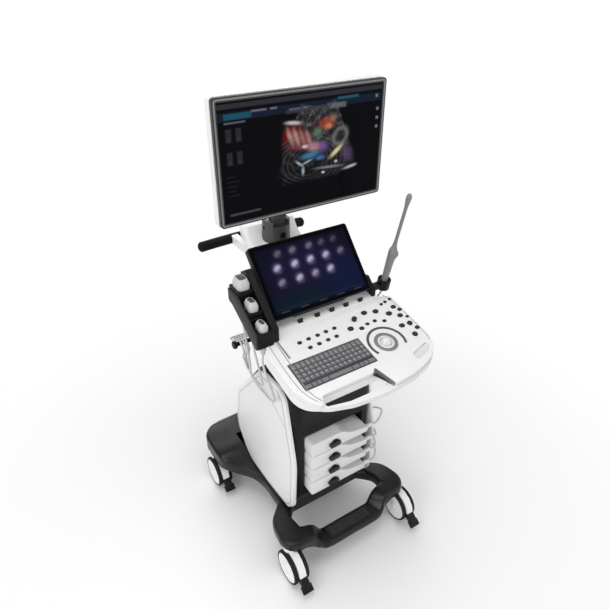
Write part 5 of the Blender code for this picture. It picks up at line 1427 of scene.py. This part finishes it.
class Page:
    """Picture at the points (u, v). Its methods lay soft shapes of colour over what is there."""

    def __init__(self, u, v, ground):
        self.u, self.v, self.rgb = u, v, np.zeros((len(u), 3)) + ground

    def lay(self, colour, share):
        self.rgb = self.rgb * (1 - share[:, None]) + np.array(colour) * share[:, None]

    def patch(self, box, colour, soft=0.004, share=1.0):
        """Rectangle (left, top, right, bottom)."""
        left, top, right, bottom = box
        depth = np.minimum.reduce([self.u - left, right - self.u, self.v - top, bottom - self.v])
        self.lay(colour, np.clip(depth / soft + 0.5, 0, 1) * share)

    def blot(self, middle, size, angle, colour, share=1.0, hollow=0.0):
        """Ellipse, or a ring where hollow is above 0."""
        du, dv = self.u - middle[0], self.v - middle[1]
        a, b = du * cos(angle) + dv * sin(angle), dv * cos(angle) - du * sin(angle)
        far = np.hypot(a / size[0], b / size[1])
        fall = ((far - 1) / hollow) ** 2 if hollow else (far ** 2) ** 1.5
        self.lay(colour, np.exp(-fall) * share)


BUTTON_ROWS = (  # height on the page, then place across and brightness of each button
    (0.160, ((0.240, 0.16), (0.390, 0.20), (0.560, 0.20), (0.690, 0.10), (0.820, 0.08))),
    (0.350, ((0.190, 0.62), (0.365, 0.66), (0.527, 0.64), (0.690, 0.60), (0.850, 0.20))),
    (0.555, ((0.185, 0.30), (0.363, 0.62), (0.524, 0.40), (0.686, 0.60))))


def touch_picture(u, v):
    """Page of round-cornered buttons on a night-blue ground."""
    page = Page(u, v, (0.003, 0.004, 0.012))
    page.blot((0.50, 0.45), (0.42, 0.40), 0.0, (0.012, 0.007, 0.034), 0.9)
    page.blot((0.80, 0.75), (0.30, 0.35), 0.0, (0.005, 0.009, 0.038), 0.9)
    page.blot((0.30, 0.92), (0.35, 0.22), 0.0, (0.003, 0.011, 0.020), 0.9)
    for y, buttons in BUTTON_ROWS:
        for x, light in buttons:
            for dx, dy, size, angle, colour, share in (
                    (0.0, 0.0, (0.042, 0.066), 0.0, (0.22, 0.18, 0.44), 0.75),
                    (0.0, -0.004, (0.027, 0.043), 0.5, (0.78, 0.72, 0.95), 0.95),
                    (0.006, 0.010, (0.008, 0.014), 0.0, (0.10, 0.07, 0.30), 0.6)):
                page.blot((x + dx, y + dy), size, angle, np.array(colour) * light, share)
            page.patch((x - 0.034, y + 0.064, x + 0.034, y + 0.074), (0.10 * light,) * 3, 0.004, 0.8)
    page.patch((0.0, 0.0, 1.0, 0.055), (0.006, 0.010, 0.020))
    page.patch((0.03, 0.90, 0.97, 0.905), (0.02, 0.04, 0.07), 0.003)
    for x in (0.12, 0.31, 0.50, 0.69, 0.88):
        page.patch((x - 0.040, 0.935, x + 0.040, 0.950), (0.05, 0.07, 0.10))
    edge = np.minimum.reduce([1.6 * u, 1.6 * (1 - u), v, 1 - v])
    return page.rgb * np.clip((edge - 0.030) / 0.045, 0.04, 1)[:, None]


show("touch_shell", touch_housing(), black_shell, "touch_screen", ["touch_housing"])
touch_sheet = pane(TOUCH_GLASS, TOUCH_GRID, touch_picture, TOUCH)
show("touch_pane", touch_sheet, display("touch_display"), "touch_screen", ["touch_glass"])
show("touch_foot", touch_bracket(), black_shell, "console", ["touch_bracket"])

# ---------------------------------------------------------------- probe rack and probes
# Black cups for the probes: a stepped rack of three outside the left edge, one on the right.
# The probes are grey moulded shells, glued along a seam, with a soft acoustic lens at the head.

CUP_HALF = 0.027
CUP_LEFT, CUP_RIGHT = CUP_X - CUP_HALF, CUP_X + CUP_HALF
CUP_DEPTH = 0.042
CUP_FRONTS = (0.024, 0.031, 0.031)
COLLAR_TOPS = (0.013, 0.019, 0.027)
PROBE_HEADS = ((0.036, 0.030, 0.046), (0.046, 0.033, 0.050), (0.058, 0.040, 0.056))
FRONT_CUP, _, REAR_CUP = CUPS
FOOT_LIFT = 0.0012  # the plates that carry the cups end this far above the deck
WAND_RADIUS = 0.014
THUMB_SIDE, THUMB_HEIGHT = Vector((0.84, -0.54)), 0.131


def rack_low(y):
    """Height of the slanted line under the three cups."""
    slope = (REAR_CUP[1] - FRONT_CUP[1]) / (REAR_CUP[0] - FRONT_CUP[0])
    return FRONT_CUP[1] - 0.035 + slope * (y - FRONT_CUP[0])


def holder_left():
    """Rack of three stepped cups outside the console, cut on a slant, on a plate that stands on the deck."""
    steps = [block((CUP_LEFT, y - ahead, z - CUP_DEPTH), (CUP_RIGHT, y + 0.030, z), 0.003, 1)
             for (y, z), ahead in zip(CUPS, CUP_FRONTS)]
    plate = vectors(
        (-0.110, deck_height(-0.110) + FOOT_LIFT), (-0.012, deck_height(-0.012) + FOOT_LIFT), (0.070, 1.010),
        (0.078, 1.076), (0.050, 1.094), (-0.012, 1.046), (-0.110, 0.966))
    holes = [slab([box_outline(0.029, 0.038, 0.013, (CUP_X, y), 3)], z - 0.08, z + 0.01) for y, z in CUPS]
    mesh = cut(join(slab([plate], CUP_RIGHT - 0.004, -0.190, SIDEWAYS), *steps), *holes)
    front, rear = FRONT_CUP[0] - 0.060, REAR_CUP[0] + 0.060
    below = vectors((front, 0.700), (rear, 0.700), (rear, rack_low(rear)), (front, rack_low(front)))
    return cut(mesh, slab([below], CUP_LEFT - 0.010, CUP_RIGHT - 0.0005, SIDEWAYS))


def rack_wall():
    """Smooth outer wall of the rack."""
    (y0, z0), (y1, z1) = FRONT_CUP, REAR_CUP
    side = rounded([
        (y1 + 0.031, z1 + 0.019, 0.006), (y1 - 0.029, z1 + 0.019, 0.010), (y0 - 0.026, z0 + 0.012, 0.006),
        (y0 - 0.026, rack_low(y0 - 0.026), 0.010), (y1 + 0.010, rack_low(y1 + 0.010), 0.030),
        (y1 + 0.031, rack_low(y1 + 0.010) + 0.003, 0.010)], 4)
    return slab([side], CUP_LEFT - GAP - 0.0028, CUP_LEFT - GAP, SIDEWAYS, bevel=0.001, segments=1)


def cup_collar(index):
    """Raised rim round a probe's head, on top of its cup."""
    (y, z), (_, thick, broad) = CUPS[index], PROBE_HEADS[index]
    low, right = y - broad / 2 - 0.0042, CUP_RIGHT - 0.002
    outer = rounded([(CUP_LEFT, low, 0.004), (right, low, 0.004), (right, y + 0.030, 0.004),
                     (CUP_LEFT, y + 0.030, 0.004)], 2)
    inner = box_outline(thick + 0.0035, broad + 0.003, 0.014, (CUP_X, y), 2)
    return slab([outer, inner], z + GAP, z + COLLAR_TOPS[index], bevel=0.0012, segments=1)


def over_cup(index, rows):
    """Loft in the middle of a cup. Each row is width, depth, corner radius and height over the cup's rim."""
    y, z = CUPS[index]
    return boxed([(width, depth, radius, z + height) for width, depth, radius, height in rows], (CUP_X, y), 2)


def probe(index):
    """Hand probe hanging in its cup: a broad head above the rim, a slim grip below it."""
    rise, thick, broad = PROBE_HEADS[index]
    return over_cup(index, (
        (0.013, 0.013, 0.006, -PROBE_DROP), (0.018, 0.020, 0.008, 0.012 - PROBE_DROP),
        (0.023, 0.030, 0.010, -0.018), (0.025, 0.034, 0.011, GAP), (thick, broad - 0.004, 0.013, GAP + 0.001),
        (thick - 0.001, broad, 0.013, rise * 0.72), (thick - 0.012, broad - 0.012, 0.009, rise)))


def lens(index):
    """Acoustic lens let into a probe's head."""
    rise, thick, broad = PROBE_HEADS[index]
    return over_cup(index, (
        (thick - 0.017, broad - 0.020, 0.006, rise - 0.002),
        (thick - 0.018, broad - 0.021, 0.006, rise + 0.0008),
        (thick - 0.021, broad - 0.025, 0.005, rise + 0.0018)))


def holder_right():
    """Cup for the endocavity probe on an arm that stands on the deck's rear right corner."""
    r = WAND_RADIUS
    cup = turned([(r + 0.0085, 0.024), (r + 0.0095, -0.010), (r - 0.0025, -0.010), (r - 0.0002, 0.002),
                  (r - 0.0002, 0.024), (r + 0.0085, 0.024)], WAND, 16)
    plate = vectors((-0.070, deck_height(-0.070) + FOOT_LIFT), (-0.014, deck_height(-0.014) + FOOT_LIFT),
                    (-0.004, 0.985), (-0.030, 0.990), (-0.070, 0.952))
    arm = block((0.198, -0.062, 0.944), (0.232, -0.038, 0.962), 0.002, 1)
    return join(cup, arm, slab([plate], 0.190, 0.204, SIDEWAYS))


def wand_shape():
    """Probe with a long thin shaft. Its grip thins towards the cord and has a thumb rest at its shoulder."""
    mesh = turned([
        (0, 0.356), (0.005, 0.354), (0.0082, 0.348), (0.0088, 0.338), (0.0072, 0.324), (0.0056, 0.310),
        (0.0056, 0.190), (0.0063, 0.176), (0.0078, 0.164), (0.0102, 0.156), (0.0122, 0.150), (0.0136, 0.144),
        (0.0142, 0.138), (0.014, 0.132), (0.0138, 0.126), (0.0136, 0.120), (0.0133, 0.112), (0.013, 0.100),
        (0.0126, 0.085), (0.0121, 0.065), (0.0115, 0.045), (0.0109, 0.024), (0.0104, 0.002),
        (0.0084, -0.012), (0.007, WAND_FOOT), (0, WAND_FOOT)], FLAT, 14)
    for vertex in mesh.vertices:
        flat = Vector(vertex.co[:2])
        if flat.length > 0.002:
            facing = max(0.0, flat.normalized().dot(THUMB_SIDE)) ** 3
            vertex.co.xy = flat * (1 + 0.50 * facing * np.exp(-((vertex.co.z - THUMB_HEIGHT) / 0.012) ** 2))
    mesh.transform(WAND)
    return mesh


probe_grey = plastic("probe_grey", (0.52, 0.52, 0.515), 0.30, clouding=0.02)
grip_rubber = plastic("grip_rubber", (0.0045, 0.0045, 0.005), 0.6, grain=1500, relief=0.00004, gloss=0.15)
wand_grey = plastic("wand_grey", 0.21, 0.36)
lens_grey = plastic("lens_grey", (0.060, 0.060, 0.062), 0.45, gloss=0.4)
show("probe_rack", holder_left(), black_shell, "console", ["holder_left"])
show("wand_cup", holder_right(), black_shell, "console", ["holder_right"])
for index, label in enumerate(("linear", "phased", "convex")):
    handset = softened(probe(index), 0.0015)
    show(f"{label}_handset", handset, probe_grey, "console", [f"probe_{label}"], 50)
    show(f"{label}_lens", lens(index), lens_grey, "console")
show("rack_wall", rack_wall(), black_shell, "console")
collars = merged([cup_collar(index) for index in range(len(CUPS))])
show("rack_collars", collars, black_shell, "console")
insert = turned([(0.0134, 0.0225), (0.0134, -0.008), (0.0122, -0.008), (0.0116, 0.0225), (0.0134, 0.0225)],
                WAND, 14)
show("wand_cup_insert", insert, grip_rubber, "console")
show("endocavity_handset", wand_shape(), wand_grey, "console", ["probe_endocavity"])

# ---------------------------------------------------------------- neck and push handle
# A white neck rises behind the touch screen and widens to the turret, which carries the monitor's arm.
# The black handle bar has domed ends. Its two white arms are bolted to the back of the neck.

NECK_BACK = 0.272
TURRET_RADIUS = 0.047
SPIGOT_RADIUS = 0.018
TURRET_Y = 0.226
TURRET_LOW = 1.076
TURRET_TOP = 1.150
TURRET_SLOT = 0.030
TURRET_AXIS = at(0, TURRET_Y)
HANDLE_AT = (0.408, 1.026)
HANDLE_HALF = 0.207
HANDLE_RADIUS = 0.018
HANDLE_BOW = 0.010
HANDLE_ARM_X = 0.075
SCREEN_MIDDLE = 1.418
HEAD_PIVOT = (0.150, SCREEN_MIDDLE - 0.018)
ARM_RADIUS = 0.019
ARM_PIVOT = (TURRET_Y, 1.126)


def neck_cover():
    """White neck behind the touch screen. It leans back, widens upwards and holds turret and rear handle."""
    shape = (  # height, half width, front and back
        (REAR_TOP + GAP, 0.086, 0.110, 0.205), (0.990, 0.090, 0.132, 0.218), (1.037, 0.096, 0.168, 0.250),
        (1.061, 0.098, 0.202, 0.281), (1.086, 0.100, 0.245, 0.305), (1.112, 0.100, 0.262, 0.317),
        (1.122, 0.096, 0.268, 0.313))
    mesh = stacked([(box_outline(2 * half, back - front, 0.014, (0.0, (front + back) / 2), 2), z)
                    for z, half, front, back in shape])
    post = rod(TURRET_RADIUS + 0.002, 0.960, TURRET_LOW, TURRET_AXIS)
    pad = block((-0.090, NECK_BACK - 0.060, HANDLE_AT[1] - 0.026),
                (0.090, NECK_BACK, HANDLE_AT[1] + 0.024), 0.004, 1)
    swing = rod(TURRET_RADIUS + 0.0015, TURRET_LOW + 0.0001, 1.2, TURRET_AXIS, 24)
    bearing = rod(SPIGOT_RADIUS + 2 * RUN, TURRET_LOW - 0.030, 1.2, TURRET_AXIS, 24)
    return cut(join(mesh, post, pad), swing, bearing)


def push_handle():
    """Bar to push the machine, slightly bowed, with a domed cap on either end."""
    y, z = HANDLE_AT
    route = [Vector((HANDLE_HALF * t, y - HANDLE_BOW * t * t, z)) for t in (-1, -0.7, -0.36, 0, 0.36, 0.7, 1)]
    dome = [(0, 0.0105), (0.008, 0.0096), (0.0138, 0.0062), (0.017, 0.0022), (HANDLE_RADIUS, -0.0005),
            (HANDLE_RADIUS, -0.006), (0, -0.006)]
    ends = [turned(dome, at(side * HANDLE_HALF, y - HANDLE_BOW, z) @ turn(side * 90, "Y"), 16)
            for side in (-1, 1)]
    return join(tube(route, HANDLE_RADIUS, 3), *ends)


def handle_arms():
    y, z = HANDLE_AT
    return merged([block((x - 0.014, NECK_BACK + GAP, z - 0.016), (x + 0.014, y - 0.004, z + 0.016), 0.004, 2)
                   for x in (-HANDLE_ARM_X, HANDLE_ARM_X)])


def arm_knuckle():
    """Turret let into the neck. A slot across it takes the arm, which tilts on a pin."""
    y, z = ARM_PIVOT
    low, over = TURRET_LOW + GAP, TURRET_TOP + 0.010
    drum = rod(TURRET_RADIUS, low, TURRET_TOP, TURRET_AXIS, 24, 0.003)
    spigot = rod(SPIGOT_RADIUS, TURRET_LOW - 0.028, low + 0.004, TURRET_AXIS, 24)
    slot = block((-TURRET_SLOT, y - 0.030, z - 0.024), (TURRET_SLOT, y + 0.080, over))
    crown = block((-TURRET_SLOT, y - 0.080, z + 0.006), (TURRET_SLOT, y + 0.080, over))
    return cut(join(drum, spigot), slot, crown, crossbar(PIN_RADIUS + RUN, 0.1, ARM_PIVOT, 10))


def turret_cap():
    """Round cap over the pin's screw, on the front of the turret."""
    place = at(0, TURRET_Y - TURRET_RADIUS, (TURRET_LOW + ARM_PIVOT[1]) / 2 + 0.004) @ turn(90, "X")
    profile = [(0, 0.004), (0.008, 0.004), (0.0105, 0.003), (0.0115, 0.0012), (0.0115, -0.006), (0, -0.006)]
    return turned(profile, place, 16)


def arm_link():
    """Arm from the turret to the monitor, with its pin below and a bored barrel above."""
    low, high = vectors(ARM_PIVOT, HEAD_PIVOT)
    half = TURRET_SLOT - RUN
    barrel = crossbar(ARM_RADIUS, half, ARM_PIVOT, 16)
    pin = crossbar(PIN_RADIUS, TURRET_RADIUS - 0.006, ARM_PIVOT, 10)
    head = crossbar(ARM_RADIUS - 0.003, half - 0.006, HEAD_PIVOT, 16)
    along = (high - low).normalized()
    side = Vector((along.y, -along.x))
    bar = slab([[low - side * 0.017, low + side * 0.017, high + side * 0.013, high - side * 0.013]],
               -half + 0.0065, half - 0.0065, SIDEWAYS)
    return cut(join(barrel, pin, head, bar), crossbar(PIN_RADIUS + RUN, 0.1, HEAD_PIVOT, 10))


turret_grey = plastic("turret_grey", (0.066, 0.066, 0.068), 0.42, gloss=0.35)
show("neck", neck_cover(), white_shell, "console", ["neck_cover"])
show("push_handle", push_handle(), grip_rubber, "console", ["rear_handle"])
show("handle_arms", handle_arms(), white_shell, "console")
show("turret_drum", arm_knuckle(), turret_grey, "turret", ["arm_knuckle"])
show("turret_cap", turret_cap(), black_shell, "turret")
show("monitor_arm", arm_link(), turret_grey, "arm", ["arm_link"])

# ---------------------------------------------------------------- monitor
# A white shell with straight sides and a tapered back, which ends in the clevis on the arm.
# A dark grey bezel with a thin trim line frames a black coated panel.

SCREEN_SIZE = (0.556, 0.347)
SCREEN_FRONT = 0.039
BEZEL_THICK = 0.012
BEZEL_RIM = 0.012
MONITOR_SIDE = 0.028
MOUNT_HALF = 0.050
VENT_COUNTS, VENT_PITCH, VENT_RISE = (28, 2), (0.0082, 0.019), 0.058
PANEL_GRID, PANEL_DEPTH, PANEL_SUNK = (300, 180), 0.0047, 0.003


def screen_outline(inset, radius):
    width, height = SCREEN_SIZE
    return box_outline(width - 2 * inset, height - 2 * inset, radius, (0.0, SCREEN_MIDDLE), 3)


def monitor_bezel():
    front = -SCREEN_FRONT
    rim = slab([screen_outline(0.0, 0.010)], front - BEZEL_THICK, front, FACING, bevel=0.0025, segments=1)
    return cut(rim, slab([screen_outline(BEZEL_RIM, 0.003)], front - 0.008, front + 0.01, FACING))


def monitor_back():
    """White shell: straight sides, then a taper to the clevis that takes the arm."""
    front = -SCREEN_FRONT - BEZEL_THICK - GAP
    shell = stacked([(screen_outline(inset, radius), front - behind) for inset, radius, behind in (
        (-0.002, 0.012, 0.0), (-0.002, 0.012, MONITOR_SIDE - 0.004), (0.003, 0.012, MONITOR_SIDE),
        (0.060, 0.030, 0.046), (0.085, 0.030, 0.054))], FACING)
    y, z = HEAD_PIVOT
    start, inner = SCREEN_FRONT + BEZEL_THICK + 0.050, TURRET_SLOT - 0.0055
    lug = rounded([(start, z - 0.026, 0), (y + 0.004, z - 0.015, 0.010), (y + 0.015, z, 0.012),
                   (y + 0.004, z + 0.015, 0.010), (start, z + 0.026, 0)], 2)
    pin = crossbar(PIN_RADIUS, inner + 0.006, HEAD_PIVOT, 10)
    return join(shell, *two_slabs(lug, inner, inner + 0.012), pin)


SCAN_STRIPS = (  # box on the page, colour, softness of the edge
    ((0.000, 0.018, 1.000, 0.056), (0.026, 0.026, 0.036), 0.006),
    ((0.000, 0.085, 1.000, 0.150), (0.005, 0.012, 0.026), 0.010),
    ((0.035, 0.095, 0.185, 0.140), (0.010, 0.070, 0.115), 0.006),
    ((0.035, 0.160, 0.150, 0.172), (0.100, 0.100, 0.130), 0.004),
    ((0.185, 0.088, 0.270, 0.104), (0.130, 0.120, 0.170), 0.004),
    ((0.290, 0.088, 0.330, 0.104), (0.130, 0.120, 0.170), 0.004),
    ((0.400, 0.118, 0.465, 0.134), (0.130, 0.120, 0.170), 0.004),
    ((0.480, 0.118, 0.510, 0.134), (0.130, 0.120, 0.170), 0.004),
    ((0.700, 0.075, 0.840, 0.098), (0.012, 0.080, 0.120), 0.006))
SCAN_BLOTS = (  # middle, size, turn, colour, share
    ((0.470, 0.260), (0.045, 0.016), 0.2, (0.75, 0.75, 0.78), 0.9),
    ((0.450, 0.350), (0.045, 0.085), 0.3, (0.15, 0.008, 0.011), 0.95),
    ((0.525, 0.410), (0.055, 0.085), -0.3, (0.13, 0.012, 0.016), 0.95),
    ((0.490, 0.470), (0.060, 0.022), 0.1, (0.20, 0.015, 0.030), 0.9),
    ((0.620, 0.370), (0.028, 0.040), 0.4, (0.12, 0.20, 0.13), 0.9),
    ((0.680, 0.300), (0.044, 0.050), 0.7, (0.36, 0.05, 0.03), 0.95),
    ((0.690, 0.330), (0.024, 0.026), 0.3, (0.62, 0.22, 0.08), 0.9),
    ((0.720, 0.270), (0.022, 0.030), 0.0, (0.32, 0.17, 0.12), 0.8),
    ((0.600, 0.490), (0.050, 0.040), 0.2, (0.50, 0.24, 0.30), 0.9),
    ((0.575, 0.560), (0.060, 0.028), -0.2, (0.05, 0.20, 0.34), 0.95),
    ((0.655, 0.500), (0.030, 0.042), 0.0, (0.20, 0.08, 0.36), 0.9),
    ((0.820, 0.600), (0.034, 0.080), -0.2, (0.10, 0.06, 0.14), 0.8),
    ((0.640, 0.600), (0.030, 0.020), 0.0, (0.06, 0.16, 0.40), 0.9),
    ((0.540, 0.475), (0.018, 0.014), 0.0, (0.85, 0.80, 0.78), 0.9),
    ((0.850, 0.735), (0.050, 0.013), -0.25, (0.62, 0.62, 0.64), 0.8),
    ((0.700, 0.700), (0.090, 0.012), 0.10, (0.30, 0.30, 0.32), 0.7),
    ((0.660, 0.740), (0.010, 0.010), 0.0, (0.8, 0.8, 0.8), 0.9),
    ((0.745, 0.660), (0.010, 0.012), 0.0, (0.8, 0.8, 0.8), 0.9))
SCAN_STREAKS = ((0.60, 0.36, 0.30), (0.70, 0.42, 0.34), (0.50, 0.22, 0.18), (0.60, 0.30, 0.26))
SCAN_MARKS = (  # as the blots, with the width of a ring's band
    ((0.770, 0.435), (0.042, 0.070), 0.2, (0.17, 0.17, 0.18), 0.8, 0.30),
    ((0.770, 0.435), (0.026, 0.045), 0.2, (0.02, 0.02, 0.02), 0.9),
    ((0.745, 0.565), (0.060, 0.016), -0.9, (0.80, 0.72, 0.36), 0.95),
    ((0.505, 0.620), (0.036, 0.009), 0.9, (0.46, 0.52, 0.58), 0.75),
    ((0.555, 0.615), (0.036, 0.009), -0.5, (0.46, 0.52, 0.58), 0.75),
    ((0.528, 0.690), (0.036, 0.009), 1.57, (0.46, 0.52, 0.58), 0.75))


def ramp(value, width):
    """From 0 where the value is below 0 to 1 where it is above the width."""
    return np.clip(value / width, 0, 1)


def scan_picture(u, v):
    """Scan page: tool strips above, a column of settings at the left and a sector scan with colour flow."""
    page = Page(u, v, (0.0015, 0.0015, 0.002))
    for row in SCAN_STRIPS:
        page.patch(*row)
    for x, y in ((0.965, 0.110), (0.975, 0.225), (0.975, 0.305), (0.975, 0.385)):
        page.patch((x - 0.008, y - 0.014, x + 0.008, y + 0.012), (0.16, 0.17, 0.20), 0.005)
    for y in (0.265, 0.450):
        for x in (0.055, 0.110):
            page.patch((x - 0.012, y - 0.050, x + 0.012, y + 0.050), (0.034, 0.034, 0.036), 0.016, 0.9)
            page.patch((x - 0.003, y - 0.042, x + 0.003, y + 0.020), (0.006, 0.006, 0.006), 0.006, 0.8)
    for line, length in enumerate((0.075, 0.103, 0.089, 0.075, 0.103)):
        y = 0.600 + 0.040 * line
        page.patch((0.030, y, length, y + 0.006), (0.016, 0.017, 0.020))
    page.patch((0.035, 0.925, 0.215, 0.945), (0.050, 0.050, 0.060), 0.005)

    u, v = u + 0.045, v + 0.020
    du, dv = (u - 0.625) * 16 / 9 * 0.92, v + 0.32
    depth, swing = np.hypot(du, dv), np.arctan2(du, dv)
    sector = ramp(0.40 - np.abs(swing), 0.006) * ramp(depth - 0.46, 0.01) * ramp(1.12 - depth, 0.01)
    chance = np.random.default_rng(11)
    coarse = chance.random((26, 40))
    cells = coarse[((depth - 0.4) * 34).astype(int) % 26, ((swing + 0.5) * 40).astype(int) % 40]
    speckle = 0.10 * chance.random(len(u)) ** 2 + 0.10 * cells ** 3
    layers = 0.5 + 0.5 * np.sin(depth * 70 + 5 * np.sin(swing * 7))
    tissue = speckle * (0.35 + 0.65 * layers) * np.exp(-((depth - 0.5) / 0.42) ** 2)
    page.rgb += (sector * tissue)[:, None] * np.array((1.0, 1.0, 1.06))

    scan = Page(u, v, page.rgb)
    scan.patch((0.425, 0.150, 0.800, 0.178), (0.05, 0.05, 0.06), 0.016, 0.75)
    scan.patch((0.700, 0.140, 0.800, 0.185), (0.16, 0.15, 0.17), 0.016, 0.75)
    streaks = [((0.450 + 0.038 * step, 0.375 + 0.012 * step), (0.015, 0.075), -0.22, tone, 0.62)
               for step, tone in enumerate(SCAN_STREAKS)]
    faint = (0.09, 0.09, 0.10)
    ripples = [((0.560, 0.62), (0.10 + 0.030 * step, 0.12 + 0.026 * step), 0.0, faint, 0.35, 0.035)
               for step in range(6)]
    for row in (*SCAN_BLOTS, *streaks, *ripples, *SCAN_MARKS):
        scan.blot(*row)
    noise = 0.72 + 0.56 * chance.random(len(u))
    inside = (ramp(u - 0.39, 0.02) * ramp(0.90 - u, 0.02) * ramp(v - 0.125, 0.02) * ramp(0.80 - v, 0.05)
              * ramp(0.62 - np.abs(swing), 0.05))[:, None]
    return np.clip(page.rgb * (1 - inside) + scan.rgb * 0.86 * noise[:, None] * inside, 0, 1)


bezel_grey = plastic("bezel_grey", (0.023, 0.024, 0.025), 0.36, gloss=0.35)
trim_grey = plastic("trim_grey", (0.20, 0.202, 0.207), 0.32, gloss=0.4)
back = monitor_back()
show("monitor_shell", softened(back, 0.0014), white_shell, "monitor", ["monitor_back"], 30)
# The vent slits are black marks on the shell, painted shade for the dark inside of the slots.
slit = boxed(((0.0034, 0.013, 0.0016, -0.001), (0.0034, 0.013, 0.0016, 0.0003)))
vents = studded(slit, VENT_COUNTS, VENT_PITCH, seat_on(back, 0.0, SCREEN_MIDDLE + VENT_RISE), vent_painted_shade)
show("monitor_vents", vents, vent_painted_shade, "monitor")
corners = [(x, HEAD_PIVOT[1] + z) for x in (-MOUNT_HALF, MOUNT_HALF) for z in (-MOUNT_HALF, MOUNT_HALF)]
show("monitor_screws", screws_on(back, corners), screw_steel, "monitor")
show("monitor_rim", monitor_bezel(), bezel_grey, "monitor", ["monitor_bezel"], 30)
trim = slab([screen_outline(0.0038, 0.008), screen_outline(0.0082, 0.005)], -SCREEN_FRONT - 0.001,
            -SCREEN_FRONT + 0.0003, FACING)
show("monitor_trim", trim, trim_grey, "monitor")
panel_size = (*(size - 2 * (BEZEL_RIM + GAP) for size in SCREEN_SIZE), PANEL_DEPTH)
panel_at = FACING @ at(0.0, SCREEN_MIDDLE, -SCREEN_FRONT - PANEL_SUNK)
panel = pane(panel_size, PANEL_GRID, scan_picture, panel_at)
show("monitor_pane", panel, display("monitor_display"), "monitor", ["monitor_glass"])

# ---------------------------------------------------------------- closing The collection of half-made pieces
# goes.

bpy.data.collections.remove(SCRATCH)
